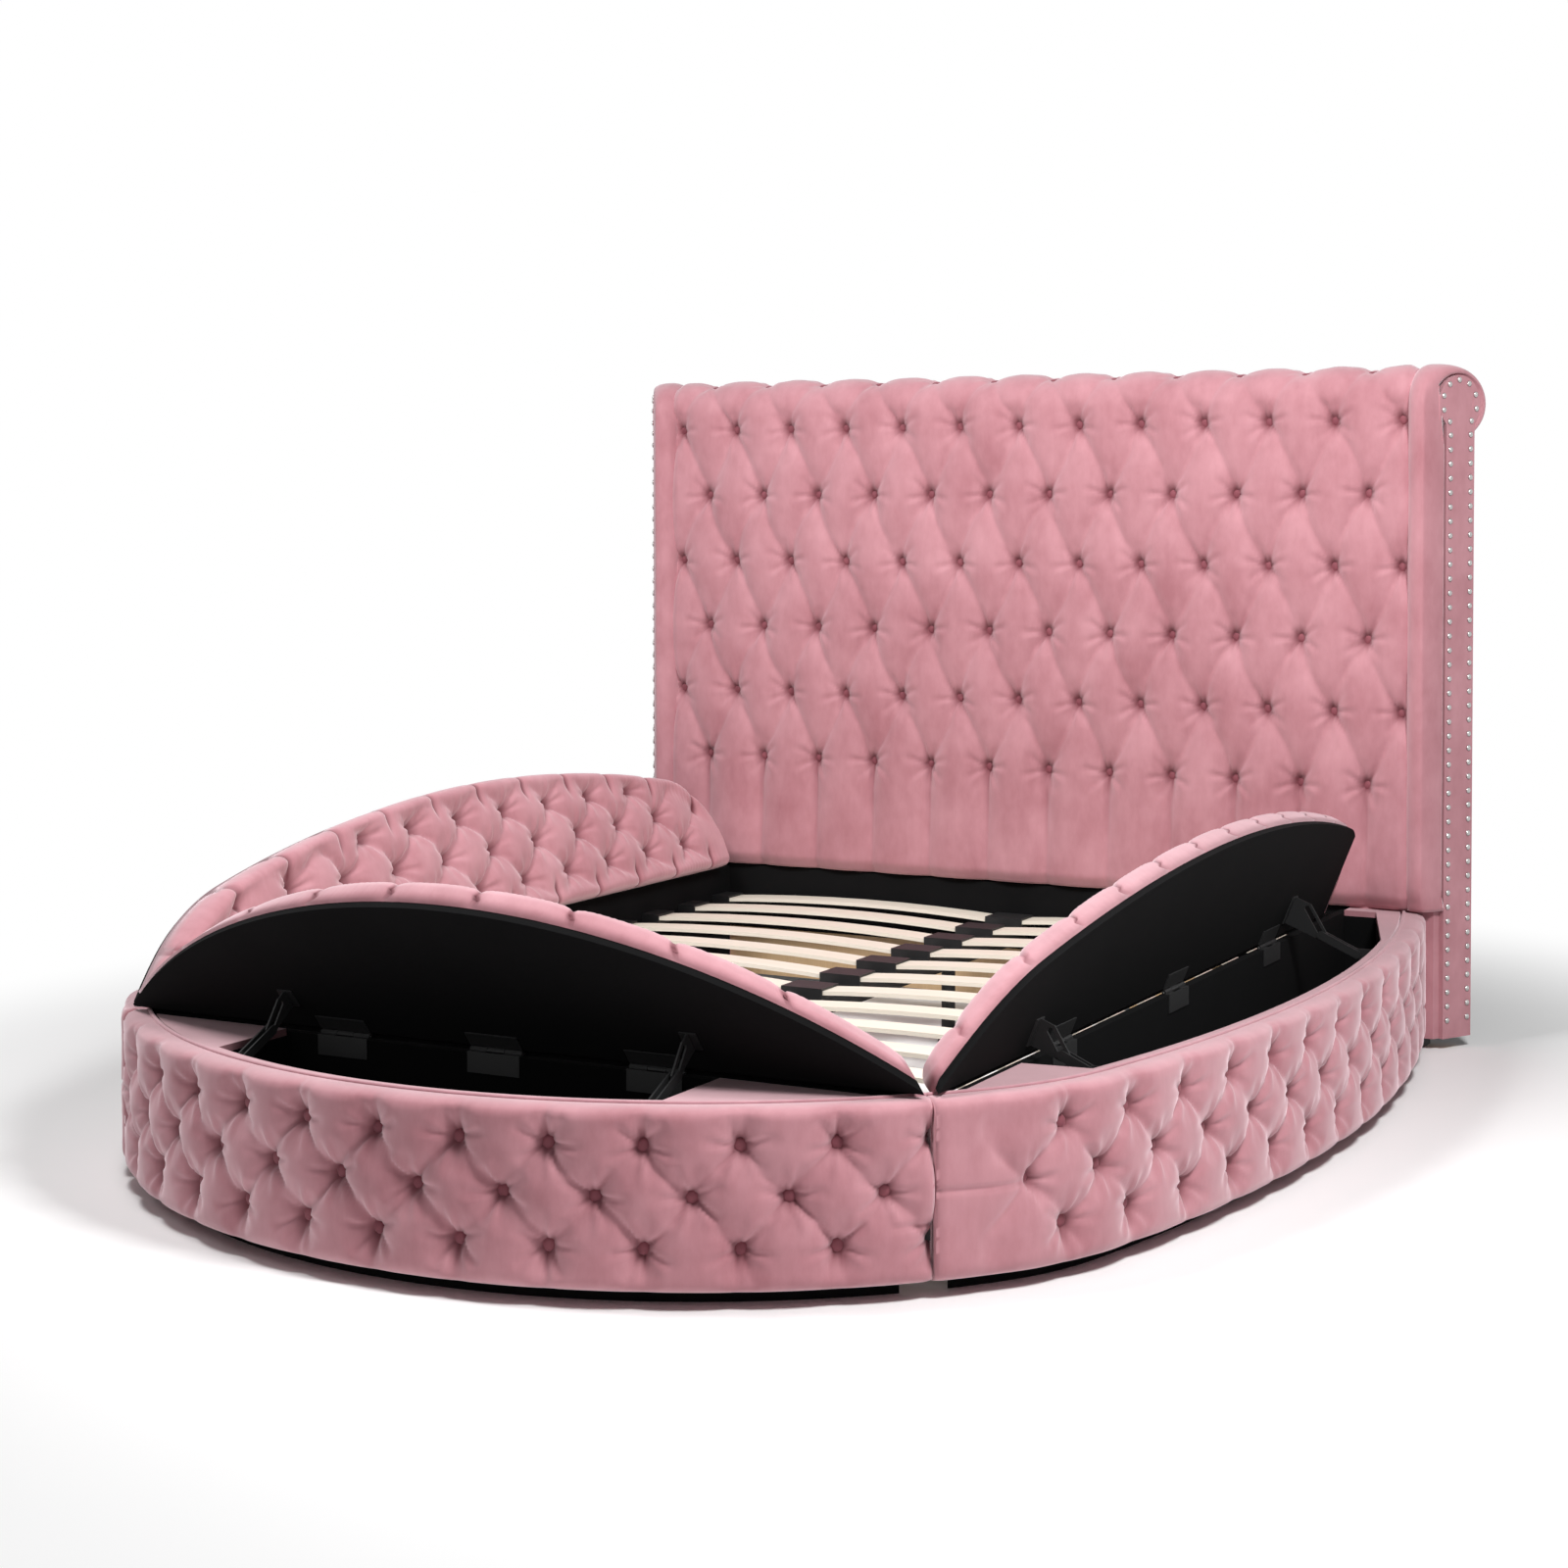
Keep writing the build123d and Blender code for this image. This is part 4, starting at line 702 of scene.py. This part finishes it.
def head_grid():
    """Closed tufted sheet of the headboard: at (x, t) it stands at the crown line, let in along its
    normal by 32 * (1 - tuft), over a back that closes it behind."""
    half = pad_half + head_tuck
    x = np.linspace(-half, half, 336)[:, None]
    t = np.concatenate([np.linspace(pad_low, roll_row, 215), np.linspace(1512, 1760, 44)])[None, :]
    lattice = (x, t - head_top_row, head_pitch, head_step, -5 * head_step)
    calm = 1 - 0.5 * smooth(roll_z - 20, roll_row, t)
    let_in = head_relief * (1 - tuft(*lattice, 2 * head_step)) * (0.55 + 0.45 * smooth(300, 500, t))
    let_in = (let_in + pucker(*lattice, head_step)) * calm
    back = [(roll_y + 34, roll_z - 30), (back_y, roll_z - 40), (back_y, 900), (back_y, 302)]
    # Share of painted fold shade: darker where the sheet is let in deeper, down into the button pits.
    folds = fold_shade_map(let_in, 14, 36, len(back))
    let_in = let_in + 8 * (1 - smooth(-head_tuck, 10, pad_half - np.abs(x)))
    let_in = let_in + 18 * (1 - smooth(292, 330, t))
    let_in = let_in + 1.6 * ripple(x, t, 8) - 0.8
    y, z, out_y, out_z = head_profile(t + 0 * x)
    front = np.stack([x + 0 * t, y - let_in * out_y, z - let_in * out_z], -1)
    lines = [np.column_stack([x[:, 0], np.full(len(x), y), np.full(len(x), z)]) for y, z in back]
    return np.concatenate([front, np.stack(lines, 1)], 1), folds


def head_button_spots():
    """Button centres and normals: six rows on the face and one near the top of the roll."""
    spots, normals = [], []
    for row in range(-1, 6):
        count = 13 if row % 2 == 0 else 12
        x = (np.arange(count) - (count - 1) / 2) * head_pitch
        x = x[np.abs(x) < pad_half - 4]
        y, z, out_y, out_z = head_profile(np.full(len(x), head_top_row - row * head_step, float))
        depth = head_button_depth if row >= 0 else roll_button_depth
        spots.append(np.column_stack([x, y - depth * out_y, z - depth * out_z]))
        normals.append(np.column_stack([0 * x, out_y, out_z]))
    return np.concatenate(spots), np.concatenate(normals)


head_pad = tube_piece("headboard_velvet", *head_grid())
finish_piece(head_pad, rose, "bed", ["headboard_pad"])
finish_buttons("headboard_covered_buttons", *head_button_spots(), "bed", "headboard_buttons")


def end_plane_x(y):
    """x of the splayed end plane at a y."""
    return end_half + (y - head_y + end_front) * math.tan(splay)


def band_grid():
    """Smooth padded band up the right edge and round the roll. Its section, in x and in distance r from
    the roll's axis line, is a half round of 38 mm on the inner side and a superellipse of power 2.6 out
    to the splayed end plane x = 986 + (y - y0) * tan 30, over a flat base; the section is carried up the
    front and then round the axis."""
    risers, turns = 120, 96
    heights = np.concatenate([np.linspace(pad_low, roll_z, risers), np.full(turns, roll_z)])
    angles = np.concatenate([np.zeros(risers), np.radians(np.linspace(2, 258, turns))])
    a = np.linspace(-math.pi / 2, 0, 12)
    b = np.linspace(0, math.pi / 2, 14)[1:]
    rows = []
    for angle, z in zip(angles, heights):
        wave = 0.8 * float(ripple(np.array(700.0), np.array(z + math.degrees(angle) * 2), 5))
        tucked = 10 * (1 - float(smooth(pad_low, 345, z)))
        blend = float(smooth(0.0, 0.7, angle))
        shoulder = 40 + 24 * blend
        side_low = 38 + 14 * float(smooth(roll_z - 90, roll_z - 20, z)) + 11 * blend
        r_in = 46 + band_round * np.cos(a) - tucked
        x_in = band_middle + band_round * np.sin(a)
        r_out = shoulder + (roll_radius - shoulder) * np.cos(b) ** (2 / 2.6) - tucked
        width = end_plane_x(roll_y - r_out * math.cos(angle)) - band_middle - 1.0
        x_out = band_middle + width * np.sin(b) ** (2 / 2.6)
        edge_x = end_plane_x(roll_y - side_low * math.cos(angle))
        x = np.concatenate([x_in, x_out, [edge_x - 1.5, edge_x - 9, edge_x - 16, 950, 909]])
        base = [12, 12, 12] if angle == 0 else [33, 31.5, 31.5]
        r = np.concatenate([r_in, r_out, [side_low + 1, side_low - 1], base])
        r = r + wave * (r > 45)
        rows.append(np.column_stack([x, roll_y - r * math.cos(angle), z + r * math.sin(angle)]))
    return np.array(rows)


right_band = tube_piece("right_band_velvet", band_grid())
left_band = mirrored(right_band, "left_band_velvet")
finish_piece(right_band, rose, "bed", ["right_bolster"])
finish_piece(left_band, rose, "bed", ["left_bolster"])


def nail_spots():
    """Nail heads on the right end board's outer face: one line up its front edge, round its head and
    down its back edge, at a pitch of 31 mm. It lies in the plane through (986, y0) splayed by 30
    degrees, in which u runs back."""
    depth = (end_front + 48) / math.cos(splay)
    middle = (roll_y - head_y + end_front) / math.cos(splay)
    front, back, radius, low = nail_row_inset, depth - nail_row_inset, 50.0, 64
    join = roll_z - math.sqrt(radius**2 - (middle - front) ** 2)
    join_back = roll_z - math.sqrt(radius**2 - (back - middle) ** 2)
    first = math.tau + math.atan2(join - roll_z, front - middle)
    last = math.atan2(join_back - roll_z, back - middle)
    sweep = np.linspace(first, last, 200)
    path = [(front, z) for z in np.arange(low, join, 3.0)]
    path += [(middle + radius * math.cos(v), roll_z + radius * math.sin(v)) for v in sweep]
    path += [(back, z) for z in np.arange(join_back, low, -3.0)]
    path = np.array(path)
    run = np.concatenate([[0], np.cumsum(np.linalg.norm(np.diff(path, axis=0), axis=1))])
    places = np.linspace(0, run[-1], int(round(run[-1] / nail_pitch)) + 1)
    u = np.interp(places, run, path[:, 0])
    z = np.interp(places, run, path[:, 1])
    x = end_half + u * math.sin(splay)
    y = head_y - end_front + u * math.cos(splay)
    normal = np.array([math.cos(splay), -math.sin(splay), 0.0])
    return np.column_stack([x, y, z]) + normal * 0.6, np.tile(normal, (len(places), 1))


spots, normals = nail_spots()
nails = dome_piece(
    "nail_heads",
    np.concatenate([spots, spots * flip]),
    np.concatenate([normals, normals * flip]),
    nail_radius,
    nail_height,
    around=10,
)
finish_piece(nails, nail_metal, "bed")


# Lids
def lid_points(along, out, up, is_foot):
    """Points of a raised lid. Closed, a point lies along the hinge line, out from it and up from the
    rim; the lid's turn takes out to out * cos - up * sin and up to out * sin + up * cos."""
    turn = math.radians(foot_open if is_foot else side_open)
    raised_out = out * math.cos(turn) - up * math.sin(turn)
    raised_up = rim + (out * math.sin(turn) + up * math.cos(turn))
    if is_foot:
        return np.stack([along, foot_axis_y - raised_out, raised_up], -1)
    return np.stack([side_axis_x + raised_out, foot_edge + along, raised_up], -1)


def lid_reach(along, is_foot, inset):
    """How far the lid reaches out from the hinge line at a place along it: the outline's own arc, drawn
    in by the inset, and for a side lid a rounded corner of 150 mm at the head end."""
    if is_foot:
        return foot_axis_y - foot_c[1] + np.sqrt((foot_radius - inset) ** 2 - along**2)
    y = foot_edge + along
    foot_r, corner_r, side_r = foot_radius - inset, corner_radius - inset, side_radius - inset
    corner_from = foot_c[1] - foot_r * corner_cos
    side_from = corner_c[1] - corner_r * math.cos(math.radians(side_start))
    x = np.where(
        y < corner_from,
        np.sqrt(np.maximum(0, foot_r**2 - (foot_c[1] - y) ** 2)),
        np.where(
            y < side_from,
            corner_c[0] + np.sqrt(np.maximum(0, corner_r**2 - (corner_c[1] - y) ** 2)),
            side_c[0] + np.sqrt(np.maximum(0, side_r**2 - (y - side_c[1]) ** 2)),
        ),
    )
    radius = lid_round - inset + lid_inset
    rounded = quarter_round(along - (lid_back - inset - radius), radius)
    return x - side_axis_x - rounded * 0.98


def lid_spots(is_foot):
    """Button places (along, out) of one lid, the same test as in the solids."""
    middle = 0 if is_foot else lid_back / 2
    first, last = (80 - half_opening, half_opening - 80) if is_foot else (80, lid_back - 50)
    found = []
    for row in range(5):
        for column in range(-8, 9):
            along = middle + (column + 0.5 * (row % 2)) * lid_pitch
            out = lid_first + row * lid_step
            if first <= along <= last and out <= lid_reach(along, is_foot, lid_inset + 36):
                found.append((along, out))
    return np.array(found)


def lid_grid(is_foot):
    """Closed padded lid. Across it the path runs from the underside's hinge edge up and over the tufted
    top, round the outer edge and back below; the top stands at 67 - 26 * (1 - tuft) * fade above the
    hinge line, and both edges are quarter rounds. A pleat runs from each button of the odd rows over
    the edges. Tips are cut along |x| = 761 - height."""
    middle = 0 if is_foot else lid_back / 2
    if is_foot:
        low, high = lid_tip - half_opening, half_opening - lid_tip
        line = np.linspace(low, high, 300)
    else:
        low, high = lid_tip, lid_back - 11
        line = low + (high - low) * (1 - (1 - np.linspace(0, 1, 330)) ** 1.35)
    reach = lid_reach(line, is_foot, lid_inset)[:, None]
    tips = np.minimum(line - low, high - line)[:, None]
    out = lid_near + (reach - lid_near) * np.linspace(0, 1, 76)[None, :]
    along = line[:, None] + 0 * out
    lattice = (along - middle, out - lid_first, lid_pitch, lid_step)
    margin = np.minimum(out - lid_near, reach - out)

    to_button = np.full(out.shape, 1e9)
    for spot_along, spot_out in lid_spots(is_foot):
        distance = np.hypot((along - spot_along) * 0.9, out - spot_out)
        to_button = np.minimum(to_button, distance)
    fade = smooth(8, 44, margin) * smooth(20, 90, tips) * (1 - smooth(95, 130, to_button))
    top = lid_high - lid_relief * (1 - tuft(*lattice, -200, 600, bow=6.0)) * fade
    top = top + 0.8 * ripple(along, out, 12) - 1.0
    top = top - pucker(*lattice, -1, 600) * fade * (to_button < 62)

    beside = (along - middle) % lid_pitch - lid_pitch / 2
    pleat = 0.8 * np.exp(-((beside / 7) ** 2)) + 0.4 * np.exp(-((beside / 24) ** 2))
    pleat = pleat + 0.06 * np.cos(beside * 0.5)
    edge_pleat = pleat * (1 - smooth(30, 80, margin)) * smooth(20, 60, tips)
    outer = pleat[:, -1:]

    # The outer edge and the underside, as places out and up
    under_out = [reach - 7 * outer * smooth(20, 60, tips), reach - 1, 0 * reach + lid_near + 1]
    under_out = np.concatenate([*under_out, 0 * reach + lid_near], 1)
    under_up = np.array([[lid_low + 20, lid_low + 0.5, lid_low + 0.5, lid_low + 20]])
    # Share of painted fold shade: darker where the top is let in deeper and in the edge pleats, and
    # painted shade on the outer edge's pleats below.
    folds = fold_shade_map(lid_high - top + 24 * edge_pleat, 13, 33, under_up.size)
    folds[:, -under_up.size, 0] = 0.7 * smooth(0.4, 1.2, outer[:, 0])
    top = top - 8 * edge_pleat
    top = top - 0.95 * quarter_round(lid_edge_round - margin, lid_edge_round)
    top = lid_low + (top - lid_low) * (0.75 + 0.25 * smooth(6, 60, reach - lid_near))

    out = np.concatenate([out, under_out], 1)
    up = np.concatenate([top, np.broadcast_to(under_up, under_out.shape)], 1)
    if is_foot:
        limit = half_opening - 4 - up
        along = np.clip(line[:, None] * np.minimum(1, limit / high), -limit, limit)
    else:
        along = 4 + up + (line[:, None] - low) * (high - (4 + up)) / (high - low)
    return lid_points(along, out, up, is_foot), folds


def lid_button_spots(is_foot):
    """Button centres and normals of one raised lid."""
    along, out = lid_spots(is_foot).T
    up = np.full(len(along), float(lid_high - lid_button_drop))
    base = lid_points(along, out, up, is_foot)
    return base, lid_points(along, out, up + 1, is_foot) - base


for side, piece in three_sides("_lid_velvet", lid_grid).items():
    finish_piece(piece, rose, side + "_lid", [side + "_lid_pad"])
for side in ("foot", "right", "left"):
    spots, normals = lid_button_spots(side == "foot")
    if side == "left":
        spots, normals = spots * flip, normals * flip
    name = side + "_lid_covered_buttons"
    finish_buttons(name, spots, normals, side + "_lid", side + "_lid_buttons")


def strip_grid(is_foot):
    """Black cloth strip along a lid's hinge edge, which closes the line between lid and inner wall: a
    section 1 mm thick just inside the lid's board, from its underside up to the pad. It has no folds,
    so no map of painted fold shade."""
    low = 4.5 if is_foot else 10.5
    ends = (-738, 738) if is_foot else (30, lid_back - 12)
    along = np.linspace(*ends, 60)[:, None] + np.zeros(4)
    out = np.array([[-9.3, -8.3, -8.3, -9.3]]) + 0 * along
    up = np.array([[low, low, 18.0, 18.0]]) + 0 * along
    return lid_points(along, out, up, is_foot), None


for side, piece in three_sides("_lid_lining_strip", strip_grid).items():
    finish_piece(piece, black_cloth, side + "_lid")


# Piping
def piping_grid(is_foot):
    """Cord along one wall's rim, outline - 47.5 * normal, clear of the mitres. It has no folds, so no
    map of painted fold shade."""
    start, end, _, _ = wall_layout(is_foot)
    point, normal = outline(np.linspace(start + 0.5, end - 0.5, 260))
    path = np.column_stack([point - piping_inset * normal, np.full(len(point), rim + 0.5)])
    return cord_grid(clear_corner(path, is_foot), piping_radius), None


for side, piece in three_sides("_rim_piping", piping_grid).items():
    finish_piece(piece, rose_piping, "bed")


# Materials of the solids that stay
keep = {
    "lining": black_cloth,
    "black_board": black_board,
    "slat": slat_wood,
    "steel": zinc,
    "black_steel": black_steel,
    "black_plastic": black_plastic,
    "velvet": rose,
    "button_velvet": shade_darkened_button_velvet,
    "board": ply,
}
slots = {entry["node"]: entry["material_slot"] for entry in frame["record"]["subparts"]}
for node, thing in frame["nodes"].items():
    material = keep[slots[node]]
    if not thing.material_slots:
        thing.data.materials.append(material)
    for place in thing.material_slots:
        place.material = material


# Floor, light and camera
def seen_share(paint):
    """1 for camera, glossy and transmission rays, 0 for the rays that only carry light."""
    rays = paint.node("ShaderNodeLightPath")
    camera = rays.out("Is Camera Ray")
    seen = camera.maths("MAXIMUM", camera, rays.out("Is Glossy Ray"))
    return seen.maths("MAXIMUM", seen, rays.out("Is Transmission Ray"))


def pale_floor():
    """Pale floor that takes the shadow near the bed and, further out, turns plain white where it is
    seen; the share grows from 0 at 1.35 m to 1 at 2.45 m from the middle, y being counted four
    fifths."""
    paint = Finish("pale_floor")
    paint.shade(Base_Color=(0.90, 0.90, 0.90, 1), Roughness=0.9, Specular_IOR_Level=0.05)
    plan = paint.place((1.0, 0.8, 0.0))
    away = paint.node("ShaderNodeVectorMath", {"operation": "LENGTH"}, {0: plan}).out("Value")
    far = ((away - 1.35) / 1.1).clip()
    white = paint.node("ShaderNodeEmission", None, {"Color": (1, 1, 1, 1), "Strength": 1.0})
    share = (far * far * (3.0 - far * 2.0)) * seen_share(paint)
    shaders = {0: share, 1: Wire(paint, paint.shader.outputs[0]), 2: white.out(0)}
    mixed = paint.node("ShaderNodeMixShader", None, shaders)
    paint.put(paint.nodes["Material Output"].inputs["Surface"], mixed.out(0))
    return paint.material


floor_half = 9000.0
corners = floor_half * np.array([[-1, -1, 0], [1, -1, 0], [1, 1, 0], [-1, 1, 0]])
floor = mesh_piece("studio_floor", corners, [[0, 1, 2, 3]])
floor.data.materials.append(pale_floor())


class Sky(Finish):
    """The studio's world, built with the same methods as a material."""

    def __init__(self, name):
        self.world = bpy.data.worlds.new(name)
        self.world.use_nodes = True
        self.nodes = self.world.node_tree.nodes
        self.links = self.world.node_tree.links


sky = Sky("studio_world")
bpy.context.scene.world = sky.world
sky.put(sky.nodes["Background"].inputs["Color"], (1, 1, 1, 1))
sky.put(sky.nodes["Background"].inputs["Strength"], seen_share(sky) * 0.87 + 0.13)


def soft_lamp(name, place, aim, size, power):
    """Square soft lamp at a place, turned towards the aim: places and size in metres, power in watts."""
    lamp = bpy.data.lights.new(name, "AREA")
    lamp.shape = "SQUARE"
    lamp.size = size
    lamp.energy = power
    thing = bpy.data.objects.new(name, lamp)
    bpy.context.collection.objects.link(thing)
    thing.visible_camera = False
    thing.location = place
    away = np.array(place, float) - np.array(aim, float)
    thing.rotation_euler = (
        math.atan2(math.hypot(away[0], away[1]), away[2]),
        0,
        math.atan2(away[0], -away[1]),
    )


soft_lamp("key_lamp", (2.2, -1.3, 2.8), (0, 0.4, 0.6), 0.7, 108)
soft_lamp("fill_lamp", (-2.8, -2.3, 2.9), (0, 0.6, 0.6), 1.2, 10)
soft_lamp("top_lamp", (-0.7, -1.3, 2.95), (0, 0.9, 0.6), 0.9, 66)

# The camera's place, turn and lens are those solved from the photo
lens = bpy.data.cameras.new("studio_camera")
camera = bpy.data.objects.new("studio_camera", lens)
bpy.context.collection.objects.link(camera)
bpy.context.scene.camera = camera
lens.sensor_fit = "HORIZONTAL"
lens.sensor_width = 36
lens.lens = 59.8
lens.shift_x = -0.0625
lens.shift_y = -0.125
camera.location = (2.407, -3.420 + foot_edge * MM, 1.162)
camera.rotation_euler = (math.radians(90 - 1.78), 0, math.radians(26.75))

scene = bpy.context.scene
scene.view_settings.view_transform = "Standard"
